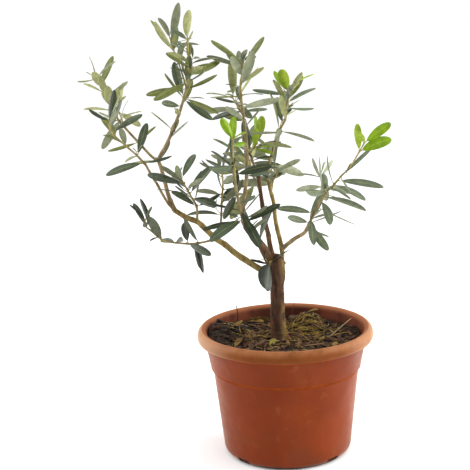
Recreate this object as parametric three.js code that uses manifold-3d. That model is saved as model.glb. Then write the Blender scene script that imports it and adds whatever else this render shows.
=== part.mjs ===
import * as THREE from "three";
import { mergeVertices } from "three/addons/utils/BufferGeometryUtils.js";
import Module from "manifold-3d";

// Sizes in millimetres, angles in degrees. +Z is up, +X is the right of the picture, -Y faces the viewer,
// and the origin is the middle of the pot's underside.

// Pot
const POT_HEIGHT = 131.4;
const RIM_RADIUS = 90;
const RIM_MOUTH = 80;
const RIM_CREST = 85.2;
const RIM_WIDEST_HEIGHT = 123.5;
const RIM_UNDER_HEIGHT = 117.7;
const RIM_INNER_HEIGHT = 125.5;
const COLLAR_TOP_RADIUS = 81.8;
const COLLAR_FOOT_RADIUS = 77;
const COLLAR_FOOT_HEIGHT = 91.4;
const BODY_TOP_RADIUS = 74.5;
const BODY_TOP_HEIGHT = 89;
const BODY_FOOT_RADIUS = 65.8;
const BODY_FOOT_HEIGHT = 10.5;
const BASE_RADIUS = 60.4;
const WALL = 2.2;
const FLOOR = 5.2;
const NOTCH_WIDTH = 15;
const NOTCH_HEIGHT = 6;
const NOTCH_DEPTH = 5;
const NOTCH_BEARINGS = [45, 135, 225, 315];
const RIM_UNDERCUT = 0.4;
const BASE_ROUNDING = 0.85;
const POT_SIDES = 36;

// Soil, and the gap that every body keeps to the next
const GAP = 0.3;
const SMALLEST = 0.1;
const SOIL_TOP = 117.3;
const SOIL_EDGE_DROP = 1.5;
const SOIL_EDGE_WIDTH = 12;

// Trunk
const TRUNK_FOOT = [-5.6, 1.1, SOIL_TOP + GAP];
const FLARE_RADIUS = 3.2;
const FLARE_HEIGHT = 8;
const FLARE_LOBES = 5;
const FLARE_LOBE_SHARE = 0.45;
const FORK_SWELL = 2.5;
const FORK_START = 0.7;
const FORK_FULL = 0.87;
const TRUNK_SIDES = 20;
const TRUNK_RINGS = 3;
const STUB = { at: 0.93, legs: [[11, 62, 352]], radius: [2.4, 1.5] };

// Limbs and stems: sides, rings to a leg, and how far a tip stands out as a share of its radius
const LIMB_SIDES = 8;
const LIMB_RINGS = 2;
const STEM_SIDES = 4;
const STEM_RINGS = 1;
const TIP_DOME = 0.45;

// Limbs. Each has its parent, its place along the parent, its legs as length, lean from upright and bearing
// from +X, and its radius at the start and at the tip.
const LIMBS = {
  trunk: {
    legs: [[22, 4, 163], [21, 1, 96], [17, 0, 39], [22, 3, 175]],
    radius: [7.4, 6.9],
  },
  left_bough: {
    on: "trunk",
    at: 0.82,
    legs: [
      [16, 64, 180], [28, 56, 177], [18, 50, 177], [11, 56, 173],
      [17, 46, 171], [8.5, 49, 170], [12, 67, 175], [14, 58, 175],
    ],
    radius: [3.3, 2.5],
  },
  left_high_bough: {
    on: "left_bough",
    at: 1,
    legs: [[17, 21, 161], [15, 15, 149], [14, 16, 149], [8.6, 9, 179], [19, 34, 326], [17, 33, 320]],
    radius: [2.3, 1.6],
  },
  left_outer_bough: {
    on: "left_bough",
    at: 1,
    legs: [[13, 37, 195], [20, 27, 207], [10, 31, 213], [17, 31, 225]],
    radius: [1.5, 1.2],
  },
  middle_bough: {
    on: "trunk",
    at: 0.91,
    legs: [[16, 34, 215], [15, 30, 220], [12, 39, 221], [14, 42, 214], [12, 28, 222]],
    radius: [4.9, 2.7],
  },
  leader_bough: {
    on: "middle_bough",
    at: 1,
    legs: [[14, 16, 86], [16, 17, 63], [14, 18, 66], [17, 14, 78], [17, 13, 93]],
    radius: [2.0, 1.6],
  },
  back_bough: {
    on: "trunk",
    at: 0.93,
    legs: [[22, 21, 131], [13, 20, 113], [14, 25, 124], [16, 16, 115], [17, 18, 112], [13, 16, 111]],
    radius: [2.7, 1.9],
  },
  right_bough: {
    on: "trunk",
    at: 0.9,
    legs: [
      [13, 34, 34], [10, 11, 77], [8.4, 18, 126], [12, 16, 141], [13, 16, 124],
      [14, 13, 108], [12, 20, 134], [11, 14, 134], [14, 11, 128],
    ],
    radius: [2.6, 1.7],
  },
  right_low_bough: {
    on: "right_bough",
    at: 0.22,
    legs: [[18, 51, 339], [14, 57, 330], [13, 34, 315]],
    radius: [2.2, 1.8],
  },
};

// Leaves
const LEAF_LENGTH = 35;
const LEAF_LENGTH_SLACK = 0.3;
const LEAF_WIDTH_SHARE = 0.18;
const LEAF_WIDTH_SLACK = 0.1;
const LEAF_THICKNESS = 0.9;
const LEAF_THINNING = 0.4;
const LEAF_SINK = 0.4;
const LEAF_TAPER = 0.7;
const LEAF_BLUNTNESS = 0.52;
const LEAF_STALK_SHARE = 0.1;
const LEAF_STALK_WIDTH = 0.1;
const LEAF_SAG = 0.08;
const LEAF_CURL = 0.2;
const LEAF_MISSING = 0.04;
const YOUNG_SIZE = 0.75;
const YOUNG_BREADTH = 1.4;
const SPREAD_LOW = 82;
const SPREAD_TIP = 48;
const SPREAD_SLACK = 32;
const ROLL_SLACK = 45;
const TWIST_SLACK = 50;
const SKYWARD = 0.5;
const LEAF_STATIONS = [0, 0.22, 0.6, 0.9];

// Side twigs
const TWIG_LENGTH = 34;
const TWIG_SLACK = 0.25;
const TWIG_TURN = 120;
const TWIG_LEAN = 35;
const TWIG_LEAN_SLACK = 45;
const TWIG_RISE = 12;
const TWIG_SWING = 10;

// Shoots. Each one grows in the named spray. Its growths, from the oldest to the tip, have the places of their
// leaf pairs along it and the seed that deals their leaves. A side twig has the seed of its twig and the bearing
// that it turns to in place of legs.
const SHOOTS = {
  fork_shoot: {
    spray: "fork_spray",
    on: "left_bough",
    at: 0.1,
    legs: [[11, 51, 288], [8, 39, 289]],
    radius: [0.9, 0.7],
    growths: [
      { seed: 37639, places: [0.8, 1] },
    ],
  },
  left_low_shoot: {
    spray: "left_low_spray",
    on: "left_bough",
    at: 0.5,
    legs: [
      [14, 96, 211], [15, 90, 203], [19, 79, 202], [11, 71, 202], [15, 46, 203], [6.8, 46, 202],
      [6.7, 19, 248],
    ],
    radius: [1.2, 0.7],
    growths: [
      { seed: 4725, places: [0.2, 0.3] },
      { seed: 45044, places: [0.58, 0.85, 0.98] },
    ],
  },
  left_inner_shoot: {
    spray: "left_inner_spray",
    on: "left_bough",
    at: 0.75,
    legs: [[16, 11, 274], [11, 27, 215], [14, 31, 224], [11, 31, 225]],
    radius: [1.3, 0.7],
    growths: [
      { seed: 31511, places: [0.26, 0.5, 0.6] },
      { seed: 99876, places: [0.72, 0.93, 1] },
    ],
  },
  slim_shoot: {
    spray: "slim_spray",
    on: "left_bough",
    at: 0.5,
    legs: [[16, 24, 38], [22, 11, 66], [19, 14, 69], [13, 13, 102]],
    radius: [1.2, 0.8],
    growths: [
      { seed: 68638, places: [0.35, 0.48] },
      { seed: 13238, places: [0.58, 0.73, 0.97] },
    ],
  },
  left_outer_shoot: {
    spray: "left_outer_spray",
    on: "left_outer_bough",
    at: 0.99,
    legs: [[16, 44, 221], [15, 49, 223], [22, 46, 219], [13, 24, 261]],
    radius: [1.2, 0.8],
    growths: [
      { seed: 29035, places: [0.03, 0.5] },
      { seed: 89189, places: [0.74, 0.9, 0.99] },
    ],
  },
  left_tall_shoot: {
    spray: "left_tall_spray",
    on: "left_high_bough",
    at: 0.66,
    legs: [
      [7.6, 77, 157], [21, 50, 149], [29, 48, 150], [15, 40, 143], [15, 38, 139], [17, 37, 136],
      [12, 29, 138],
    ],
    radius: [1.6, 0.7],
    growths: [
      { seed: 59748, places: [0.29, 0.43] },
      { seed: 27124, places: [0.56, 0.64, 0.73] },
      { seed: 62879, places: [0.83, 0.94] },
    ],
  },
  left_tall_twig: {
    spray: "left_tall_spray",
    on: "left_tall_shoot",
    at: 0.4,
    twig: 54,
    toward: 70,
    radius: [1, 0.7],
    growths: [
      { seed: 54572, places: [0.5, 0.8, 1] },
    ],
  },
  left_top_shoot: {
    spray: "left_top_spray",
    on: "left_high_bough",
    at: 1,
    legs: [
      [21, 32, 312], [16, 29, 311], [14, 28, 309], [13, 28, 305], [11, 16, 291], [14, 17, 257],
      [18, 12, 268],
    ],
    radius: [1.6, 0.7],
    growths: [
      { seed: 27501, places: [0, 0.14, 0.32] },
      { seed: 2733, places: [0.44, 0.52, 0.58] },
      { seed: 38954, places: [0.68, 0.8, 0.86, 0.96] },
    ],
  },
  left_top_twig: {
    spray: "left_top_spray",
    on: "left_top_shoot",
    at: 0.43,
    legs: [[14, 27, 127], [16, 25, 133], [13, 32, 133], [9.7, 23, 125]],
    radius: [1, 0.6],
    growths: [
      { seed: 95032, places: [0.45, 0.67, 0.79, 0.97] },
    ],
  },
  middle_shoot: {
    spray: "middle_spray",
    on: "middle_bough",
    at: 1,
    legs: [[16, 22, 239], [19, 20, 247], [17, 17, 258], [12, 20, 267], [17, 21, 262], [12, 20, 284]],
    radius: [1.6, 0.7],
    growths: [
      { seed: 89718, places: [0.01, 0.07, 0.12] },
      { seed: 57286, places: [0.29, 0.5, 0.66, 0.82] },
      { seed: 49458, places: [0.9, 0.98], young: true },
    ],
  },
  leader_shoot: {
    spray: "leader_spray",
    on: "leader_bough",
    at: 1,
    legs: [[12, 11, 116], [12, 11, 118], [20, 8, 134], [13, 5, 111], [11, 11, 27], [12, 10, 35]],
    radius: [1.6, 0.8],
    growths: [
      { seed: 87753, places: [0.1, 0.29, 0.39] },
      { seed: 61099, places: [0.45, 0.52, 0.63] },
      { seed: 14782, places: [0.73, 0.84, 0.92, 1] },
    ],
  },
  leader_twig: {
    spray: "leader_spray",
    on: "leader_shoot",
    at: 0.35,
    twig: 19,
    toward: 90,
    radius: [1, 0.7],
    growths: [
      { seed: 14850, places: [0.5, 0.8, 1] },
    ],
  },
  centre_shoot: {
    spray: "centre_spray",
    on: "back_bough",
    at: 0.99,
    legs: [[9.3, 20, 180], [11, 19, 195], [6.2, 13, 228], [7, 36, 346], [6.8, 26, 0]],
    radius: [1.3, 0.7],
    growths: [
      { seed: 90680, places: [0.13, 0.24, 0.35, 0.58] },
      { seed: 39148, places: [0.76, 0.98], young: true },
    ],
  },
  right_top_shoot: {
    spray: "right_top_spray",
    on: "right_bough",
    at: 0.99,
    legs: [
      [14, 26, 31], [13, 21, 43], [15, 28, 32], [11, 31, 21], [11, 18, 62], [11, 19, 60], [12, 15, 80],
    ],
    radius: [1.5, 0.8],
    growths: [
      { seed: 6702, places: [0.14, 0.3, 0.41] },
      { seed: 9290, places: [0.57, 0.73, 0.83, 0.89] },
      { seed: 67388, places: [0.93, 0.99], young: true },
    ],
  },
  right_inner_shoot: {
    spray: "right_inner_spray",
    on: "right_bough",
    at: 0.85,
    legs: [[6.4, 49, 317], [8.4, 46, 304], [7.5, 49, 299]],
    radius: [1, 0.7],
    growths: [
      { seed: 48207, places: [0.37, 0.66, 0.98] },
    ],
  },
  right_shoot: {
    spray: "right_spray",
    on: "right_low_bough",
    at: 0.99,
    legs: [
      [13, 31, 312], [16, 33, 316], [13, 40, 316], [13, 48, 319], [13, 44, 318], [16, 46, 323],
      [29, 35, 320],
    ],
    radius: [1.3, 0.7],
    growths: [
      { seed: 97565, places: [0.01, 0.06, 0.14, 0.3] },
      { seed: 26090, places: [0.36, 0.45, 0.57, 0.71] },
      { seed: 64889, places: [0.95], young: true },
      { seed: 74888, places: [1], young: true },
    ],
  },
  right_twig: {
    spray: "right_spray",
    on: "right_shoot",
    at: 0.4,
    twig: 44,
    toward: 80,
    radius: [1, 0.7],
    growths: [
      { seed: 31875, places: [0.5, 0.8, 1] },
    ],
  },
  back_shoot: {
    spray: "back_spray",
    on: "back_bough",
    at: 0.78,
    legs: [[20, 68, 104], [19, 72, 105], [19, 74, 101], [16, 64, 98]],
    radius: [1.1, 0.7],
    growths: [
      { seed: 61706, places: [0.25, 0.45, 0.62, 0.8, 0.97] },
    ],
  },
  back_left_twig: {
    spray: "back_spray",
    on: "back_shoot",
    at: 0.35,
    twig: 49,
    toward: 150,
    radius: [1, 0.7],
    growths: [
      { seed: 42502, places: [0.5, 0.8, 1] },
    ],
  },
  back_twig: {
    spray: "back_spray",
    on: "back_shoot",
    at: 0.62,
    twig: 13,
    toward: 40,
    radius: [1, 0.7],
    growths: [
      { seed: 29270, places: [0.5, 0.8, 1] },
    ],
  },
  back_right_shoot: {
    spray: "back_right_spray",
    on: "right_bough",
    at: 0.76,
    legs: [[18, 73, 85], [21, 72, 90], [20, 68, 96]],
    radius: [1, 0.7],
    growths: [
      { seed: 48460, places: [0.3, 0.52, 0.75, 0.97] },
    ],
  },
  back_right_twig: {
    spray: "back_right_spray",
    on: "back_right_shoot",
    at: 0.5,
    twig: 13,
    toward: 30,
    radius: [1, 0.7],
    growths: [
      { seed: 85942, places: [0.5, 0.8, 1] },
    ],
  },
};

const wasm = await Module();
wasm.setup();

const UP = new THREE.Vector3(0, 0, 1);
const VIEWER = new THREE.Vector3(0, -1, 0);
const { degToRad, lerp, smoothstep } = THREE.MathUtils;

// Even random numbers from 0 to 1 that depend on the seed alone
function chanceFrom(seed) {
  let state = (seed * 2654435761) % 4294967296;
  const next = () => {
    state = (state * 1664525 + 1013904223) % 4294967296;
    return state / 4294967296;
  };
  for (let k = 0; k < 4; k += 1) next();
  return next;
}

// A closed surface over rings of points, each ring counter-clockwise about the way on, with a point in the
// middle of either end
function loft(rings, first, last) {
  const sides = rings[0].length;
  const places = [...rings.flat(), first, last];
  const faces = [];
  for (let k = 0; k + 1 < rings.length; k += 1) {
    for (let i = 0; i < sides; i += 1) {
      const a = k * sides + i;
      const b = k * sides + ((i + 1) % sides);
      faces.push(a, b, b + sides, a, b + sides, a + sides);
    }
  }
  const end = (rings.length - 1) * sides;
  for (let i = 0; i < sides; i += 1) {
    const j = (i + 1) % sides;
    faces.push(places.length - 2, j, i, places.length - 1, end + i, end + j);
  }
  return new THREE.BufferGeometry().setFromPoints(places).setIndex(faces);
}

// A profile of radius and height turned about the pot's axis
function turned(profile) {
  const points = profile.map(([radius, height]) => new THREE.Vector2(radius, height));
  return new THREE.LatheGeometry(points, POT_SIDES).rotateX(Math.PI / 2);
}

function solidOf(geometry) {
  geometry.deleteAttribute("normal");
  geometry.deleteAttribute("uv");
  const merged = mergeVertices(geometry, 1e-4);
  return new wasm.Manifold(
    new wasm.Mesh({
      numProp: 3,
      vertProperties: merged.attributes.position.array,
      triVerts: Uint32Array.from(merged.index.array),
    }),
  );
}

// The largest of a solid's bodies, without scraps and with hollows filled
function mainBody(solid) {
  return solid.decompose().sort((a, b) => b.volume() - a.volume())[0];
}

// Points on an arc of an ellipse, from one angle to the other
function arc(radius, height, wide, high, from, to, steps) {
  return Array.from({ length: steps + 1 }, (_, k) => {
    const angle = degToRad(lerp(from, to, k / steps));
    return [radius + wide * Math.cos(angle), height + high * Math.sin(angle)];
  });
}

function potSolid() {
  const lip = RIM_RADIUS - RIM_CREST;
  const lipUnder = RIM_WIDEST_HEIGHT - RIM_UNDER_HEIGHT;
  const lipOver = POT_HEIGHT - RIM_WIDEST_HEIGHT;
  const mouth = RIM_CREST - RIM_MOUTH;
  const mouthOver = POT_HEIGHT - RIM_INNER_HEIGHT;
  const foot = BODY_FOOT_RADIUS - BASE_RADIUS;
  const outside = [
    [0, 0],
    [BASE_RADIUS, 0],
    ...arc(BASE_RADIUS, BODY_FOOT_HEIGHT, foot, BODY_FOOT_HEIGHT * BASE_ROUNDING, -70, 0, 3),
    [BODY_TOP_RADIUS, BODY_TOP_HEIGHT],
    [COLLAR_FOOT_RADIUS, COLLAR_FOOT_HEIGHT],
    [COLLAR_TOP_RADIUS, RIM_UNDER_HEIGHT - RIM_UNDERCUT],
    ...arc(RIM_CREST, RIM_WIDEST_HEIGHT, lip, lipUnder, -90, 0, 3),
    ...arc(RIM_CREST, RIM_WIDEST_HEIGHT, lip, lipOver, 0, 90, 5).slice(1),
  ];
  const inside = [
    ...arc(RIM_CREST, RIM_INNER_HEIGHT, mouth, mouthOver, 90, 180, 3).slice(1),
    [COLLAR_TOP_RADIUS - WALL, RIM_UNDER_HEIGHT - RIM_UNDERCUT],
    [COLLAR_FOOT_RADIUS - WALL, COLLAR_FOOT_HEIGHT],
    [BODY_TOP_RADIUS - WALL, BODY_TOP_HEIGHT],
    [BODY_FOOT_RADIUS - WALL, BODY_FOOT_HEIGHT],
    [BASE_RADIUS - WALL, FLOOR],
    [0, FLOOR],
  ];
  let pot = solidOf(turned([...outside, ...inside]));
  for (const bearing of NOTCH_BEARINGS) {
    const notch = new THREE.BoxGeometry(2 * NOTCH_DEPTH, NOTCH_WIDTH, 2 * NOTCH_HEIGHT)
      .translate(BODY_FOOT_RADIUS, 0, 0)
      .rotateZ(degToRad(bearing));
    pot = pot.subtract(solidOf(notch));
  }
  return pot;
}

function soilSolid() {
  const wall = WALL + GAP;
  return solidOf(
    turned([
      [0, FLOOR + GAP],
      [BASE_RADIUS - wall, FLOOR + GAP],
      [BODY_FOOT_RADIUS - wall, BODY_FOOT_HEIGHT + GAP],
      [BODY_TOP_RADIUS - wall, BODY_TOP_HEIGHT + GAP],
      [COLLAR_FOOT_RADIUS - wall, COLLAR_FOOT_HEIGHT + GAP],
      [COLLAR_TOP_RADIUS - wall - GAP, SOIL_TOP - SOIL_EDGE_DROP],
      [COLLAR_TOP_RADIUS - wall - SOIL_EDGE_WIDTH, SOIL_TOP],
      [0, SOIL_TOP],
    ]),
  );
}

// The smooth path of a limb or shoot through the ends of its legs
function pathOf(start, legs) {
  const points = [start];
  for (const [length, lean, bearing] of legs) {
    const way = new THREE.Vector3(
      Math.sin(degToRad(lean)) * Math.cos(degToRad(bearing)),
      Math.sin(degToRad(lean)) * Math.sin(degToRad(bearing)),
      Math.cos(degToRad(lean)),
    );
    points.push(points[points.length - 1].clone().addScaledVector(way, length));
  }
  return new THREE.CatmullRomCurve3(points, false, "catmullrom", 0.5);
}

// The middle of a path at a place along it, the way on, and two ways square to that: towards the viewer and
// to the side
function frameAt(path, place) {
  const before = path.getPoint(Math.max(place - 0.01, 0));
  const along = path.getPoint(Math.min(place + 0.01, 1)).sub(before).normalize();
  const front = VIEWER.clone().addScaledVector(along, -VIEWER.dot(along)).normalize();
  return { middle: path.getPoint(place), along, front, side: along.clone().cross(front) };
}

function limbSurface(limb, grow, sides, ringsPerLeg, girth) {
  const steps = limb.legs.length * ringsPerLeg;
  const frames = Array.from({ length: steps + 1 }, (_, k) => frameAt(limb.path, k / steps));
  const rings = frames.map(({ middle, front, side }, k) => {
    const level = girth ? { front: VIEWER, side: UP.clone().cross(VIEWER) } : { front, side };
    return Array.from({ length: sides }, (_, i) => {
      const angle = (2 * Math.PI * i) / sides;
      const taper = lerp(limb.radius[0], limb.radius[1], k / steps);
      const radius = grow + (girth ? girth(taper, middle.z, k / steps, angle) : taper);
      return middle
        .clone()
        .addScaledVector(level.front, radius * Math.cos(angle))
        .addScaledVector(level.side, radius * Math.sin(angle));
    });
  });
  const first = frames[0];
  const last = frames[steps];
  const back = girth ? UP : first.along;
  return loft(
    rings,
    first.middle.clone().addScaledVector(back, -grow),
    last.middle.clone().addScaledVector(last.along, grow + TIP_DOME * limb.radius[1]),
  );
}

// The trunk's radius, with root lobes that die away upwards and a swelling under the fork
function trunkGirth(taper, height, place, angle) {
  const rise = Math.max(height, 0);
  const lobes = 1 + FLARE_LOBE_SHARE * Math.cos(FLARE_LOBES * angle);
  const flare = FLARE_RADIUS * Math.exp(-rise / FLARE_HEIGHT) * lobes;
  return taper + flare + FORK_SWELL * smoothstep(place, FORK_START, FORK_FULL);
}

function trunkSolid(grow) {
  const stub = { ...STUB, path: pathOf(LIMBS.trunk.path.getPoint(STUB.at), STUB.legs) };
  const stem = solidOf(limbSurface(LIMBS.trunk, grow, TRUNK_SIDES, TRUNK_RINGS, trunkGirth));
  return stem.add(solidOf(limbSurface(stub, grow, LIMB_SIDES, 1)));
}

function limbSolid(limb, grow, sides, ringsPerLeg) {
  return limb === LIMBS.trunk ? trunkSolid(grow) : solidOf(limbSurface(limb, grow, sides, ringsPerLeg));
}

// The two legs of a side twig, from its seed and the bearing that it is turned to
function twigLegs(seed, toward) {
  const chance = chanceFrom(seed);
  const bearing = toward + TWIG_TURN * (chance() - 0.5);
  const lean = TWIG_LEAN + TWIG_LEAN_SLACK * chance();
  const length = TWIG_LENGTH * (1 + (2 * chance() - 1) * TWIG_SLACK);
  return [
    [0.5 * length, lean, bearing],
    [0.5 * length, lean - TWIG_RISE, bearing + TWIG_SWING],
  ];
}

// The leaves of a shoot, in pairs that stand across it, each pair a quarter turn on from the last
function leavesOf({ path, growths }) {
  const leaves = [];
  let index = 0;
  for (const { seed, places, young } of growths) {
    const chance = chanceFrom(seed);
    for (const place of places) {
      const spot = frameAt(path, place);
      for (const half of [0, 1]) {
        const draws = Array.from({ length: 6 }, chance);
        if (draws[0] >= LEAF_MISSING) leaves.push(leafAt(spot, place, index, half, draws, young));
      }
      index += 1;
    }
  }
  return leaves;
}

function leafAt({ middle, along, front, side }, place, index, half, draws, young) {
  const [wide, turn, open, long, bend, twist] = draws;
  const roll = degToRad(90 * index + 180 * half + (2 * turn - 1) * ROLL_SLACK);
  const spread = degToRad(lerp(SPREAD_LOW, SPREAD_TIP, place) + (2 * open - 1) * SPREAD_SLACK);
  const way = along
    .clone()
    .multiplyScalar(Math.cos(spread))
    .addScaledVector(side, Math.sin(spread) * Math.cos(roll))
    .addScaledVector(front, Math.sin(spread) * Math.sin(roll));
  const face = along
    .clone()
    .addScaledVector(UP, SKYWARD)
    .addScaledVector(way, -along.dot(way) - SKYWARD * UP.dot(way))
    .normalize()
    .applyAxisAngle(way, degToRad((2 * twist - 1) * TWIST_SLACK));
  const length = (young ? YOUNG_SIZE : 1) * LEAF_LENGTH * (1 + (2 * long - 1) * LEAF_LENGTH_SLACK);
  const width = (young ? YOUNG_BREADTH : 1) * length * (LEAF_WIDTH_SHARE + LEAF_WIDTH_SLACK * wide);
  return { base: middle, way, face, length, width, curl: (2 * bend - 1) * LEAF_CURL };
}

// A leaf's width at a share of its length, as a share of its full width
function leafWidth(share) {
  if (share < LEAF_STALK_SHARE) return LEAF_STALK_WIDTH;
  const blade = (share - LEAF_STALK_SHARE) / (1 - LEAF_STALK_SHARE);
  const widest = LEAF_TAPER / (LEAF_TAPER + LEAF_BLUNTNESS);
  const oval = (blade / widest) ** LEAF_TAPER * ((1 - blade) / (1 - widest)) ** LEAF_BLUNTNESS;
  return Math.max(LEAF_STALK_WIDTH * (1 - blade), oval);
}

function leafSolid({ base, way, face, length, width, curl }) {
  const across = way.clone().cross(face);
  const middleAt = (share) =>
    base
      .clone()
      .addScaledVector(way, length * share - LEAF_SINK)
      .addScaledVector(face, -length * curl * share * share)
      .addScaledVector(UP, -length * LEAF_SAG * share * share);
  const rings = LEAF_STATIONS.map((share) => {
    const middle = middleAt(share);
    const wide = 0.5 * width * leafWidth(share);
    const thick = 0.5 * LEAF_THICKNESS * (1 - LEAF_THINNING * share);
    return [
      middle.clone().addScaledVector(face, thick),
      middle.clone().addScaledVector(across, wide),
      middle.clone().addScaledVector(face, -thick),
      middle.clone().addScaledVector(across, -wide),
    ];
  });
  return solidOf(loft(rings, middleAt(0), middleAt(1)));
}

function boxesMeet(a, b) {
  const one = a.boundingBox();
  const two = b.boundingBox();
  return [0, 1, 2].every((k) => one.min[k] - GAP < two.max[k] && two.min[k] - GAP < one.max[k]);
}

// Each limb and stem is cut back to the gap from those grown before it
const limbSolids = new Map();
const cutters = new Map();
function grow(name, limb, sides, ringsPerLeg) {
  const parent = LIMBS[limb.on] ?? SHOOTS[limb.on];
  limb.legs ??= twigLegs(limb.twig, limb.toward);
  limb.path = pathOf(parent ? parent.path.getPoint(limb.at) : new THREE.Vector3(), limb.legs);
  const own = SHOOTS[limb.on] ? limb.on : null;
  let solid = limbSolid(limb, 0, sides, ringsPerLeg);
  for (const [other, cutter] of cutters) {
    if (other !== own && boxesMeet(solid, cutter)) solid = solid.subtract(cutter);
  }
  limbSolids.set(name, mainBody(solid).simplify(SMALLEST));
  cutters.set(name, limbSolid(limb, GAP, sides, ringsPerLeg));
}
for (const [name, limb] of Object.entries(LIMBS)) grow(name, limb, LIMB_SIDES, LIMB_RINGS);
for (const [name, shoot] of Object.entries(SHOOTS)) grow(name, shoot, STEM_SIDES, STEM_RINGS);

// A leaf is kept when it is clear of every limb, of the other sprays' stems and of their leaves
const sprays = new Map();
for (const [name, shoot] of Object.entries(SHOOTS)) {
  if (!sprays.has(shoot.spray)) sprays.set(shoot.spray, { stems: [], leaves: [] });
  sprays.get(shoot.spray).stems.push(limbSolids.get(name));
}
function isClear(leaf, spray) {
  for (const [name, cutter] of cutters) {
    const ownStem = SHOOTS[name] && SHOOTS[name].spray === spray;
    if (!ownStem && boxesMeet(leaf, cutter) && !leaf.intersect(cutter).isEmpty()) return false;
  }
  for (const [name, { leaves }] of sprays) {
    if (name === spray) continue;
    if (leaves.some((other) => boxesMeet(leaf, other) && leaf.minGap(other, GAP) < GAP)) return false;
  }
  return true;
}
for (const shoot of Object.values(SHOOTS)) {
  for (const leaf of leavesOf(shoot)) {
    const solid = leafSolid(leaf);
    if (isClear(solid, shoot.spray)) sprays.get(shoot.spray).leaves.push(solid);
  }
}

// The tree stands in the soil of the pot
const CLAY = new THREE.MeshStandardMaterial({ color: "#b5623c", roughness: 0.6, metalness: 0 });
const EARTH = new THREE.MeshStandardMaterial({ color: "#2f241c", roughness: 0.95, metalness: 0 });
const BARK = new THREE.MeshStandardMaterial({ color: "#7d5f43", roughness: 0.9, metalness: 0 });
const LEAF = new THREE.MeshStandardMaterial({ color: "#5d6b4b", roughness: 0.55, metalness: 0 });

function meshOf(name, solid, material) {
  const { vertProperties, triVerts } = solid.getMesh();
  const geometry = new THREE.BufferGeometry();
  geometry.setAttribute("position", new THREE.BufferAttribute(vertProperties, 3));
  geometry.setIndex(new THREE.BufferAttribute(triVerts, 1));
  geometry.computeVertexNormals();
  const mesh = new THREE.Mesh(geometry, material);
  mesh.name = name;
  return mesh;
}
const tree = new THREE.Group();
tree.position.set(...TRUNK_FOOT);
for (const name of Object.keys(LIMBS)) tree.add(meshOf(name, limbSolids.get(name), BARK));
for (const [name, { stems, leaves }] of sprays) {
  const spray = mainBody(wasm.Manifold.union([...stems, ...leaves])).simplify(SMALLEST);
  tree.add(meshOf(name, spray, LEAF));
}
const pottedOlive = new THREE.Group();
pottedOlive.add(meshOf("pot", potSolid(), CLAY), meshOf("soil", soilSolid(), EARTH), tree);

export default pottedOlive;
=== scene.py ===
import functools
import math
import random
from typing import NamedTuple

import bmesh
import bpy
import numpy as np
from mathutils import Matrix, Vector, noise
from mathutils.bvhtree import BVHTree


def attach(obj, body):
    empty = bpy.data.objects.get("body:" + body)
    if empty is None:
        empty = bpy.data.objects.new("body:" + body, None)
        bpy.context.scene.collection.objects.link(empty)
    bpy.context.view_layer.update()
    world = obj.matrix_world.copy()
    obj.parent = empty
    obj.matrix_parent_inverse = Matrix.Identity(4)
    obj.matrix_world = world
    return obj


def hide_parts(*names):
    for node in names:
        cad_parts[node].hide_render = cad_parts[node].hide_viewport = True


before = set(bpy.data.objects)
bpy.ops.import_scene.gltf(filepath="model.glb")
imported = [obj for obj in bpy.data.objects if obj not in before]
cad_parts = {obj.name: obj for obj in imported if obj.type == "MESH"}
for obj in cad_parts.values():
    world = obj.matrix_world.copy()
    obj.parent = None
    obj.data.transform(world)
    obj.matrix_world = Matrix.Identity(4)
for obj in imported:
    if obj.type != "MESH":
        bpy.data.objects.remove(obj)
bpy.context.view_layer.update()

# Sizes are in millimetres and angles in degrees, as in the part's source, until a mesh is made
MM = 0.001
UP = np.array([0.0, 0.0, 1.0])
VIEWER = np.array([0.0, -1.0, 0.0])

# Camera of the photograph, with its angles in radians
CAMERA_PLACE = (0, -1401.5, 557.25)
CAMERA_YAW = 0.0343
CAMERA_PITCH = 0.2304
CAMERA_ROLL = -0.0323
CAMERA_FOCAL_PIXELS = 1428.7
PICTURE_PIXELS = 470
SENSOR_WIDTH = 36

# Stage, in metres, with a place and a power for each panel of light
FLOOR_HALF = 40
FLOOR_DROP = 0.0004
FLOOR_TONE = (0.93, 0.93, 0.93)
SKY_POWER = 0.4
SUN_POWER = 2.3
SUN_SPREAD = 110
SUN_LEAN = (8, 6, 0)
PANELS = {"left_panel": ((-1.25, 0.35, 0.55), 19), "right_panel": ((1.25, 0.15, 0.55), 26)}
PANEL_SIZE = 1.2
PANEL_AIM = (0, 0, 0.2)

# Pot
POT_HEIGHT = 131.4
RIM_RADIUS = 90
RIM_MOUTH = 80
RIM_CREST = 85.2
RIM_WIDEST_HEIGHT = 123.5
RIM_UNDER_HEIGHT = 117.7
RIM_INNER_HEIGHT = 125.5
RIM_UNDERCUT = 0.4
COLLAR_TOP_RADIUS = 81.8
COLLAR_FOOT_RADIUS = 77
COLLAR_FOOT_HEIGHT = 91.4
BODY_TOP_RADIUS = 74.5
BODY_TOP_HEIGHT = 89
BODY_FOOT_RADIUS = 65.8
BODY_FOOT_HEIGHT = 10.5
BASE_RADIUS = 60.4
BASE_ROUNDING = 0.85
WALL = 2.2
FLOOR = 5.2
NOTCH_WIDTH = 15
NOTCH_HEIGHT = 6
NOTCH_DEPTH = 5
NOTCH_BEARINGS = (45, 135, 225, 315)
POT_SIDES = 216
POT_CREASE = 32
# Bands at the collar foot and under the rim whose faces take a colour of their own without sheen, painted to
# set how dark these creases look in shade
POT_SHADING_FOLDS = (
    (BODY_TOP_HEIGHT - 0.5, COLLAR_FOOT_HEIGHT),
    (RIM_UNDER_HEIGHT - 1, RIM_UNDER_HEIGHT + 2.2),
)
POT_BODY, POT_RIM, POT_INSIDE, POT_FOLD_SHADING = range(4)

# Soil
GAP = 0.3
SOIL_TOP = 117.3
SOIL_RADIUS = 79
SOIL_EDGE_DROP = 1.5
SOIL_LUMPS = 1.4
SOIL_GRAIN = 0.055
SOIL_FRACTAL = (0.6, 2.1, 4)
SOIL_SIDES = 150
SOIL_RINGS = 56

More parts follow.
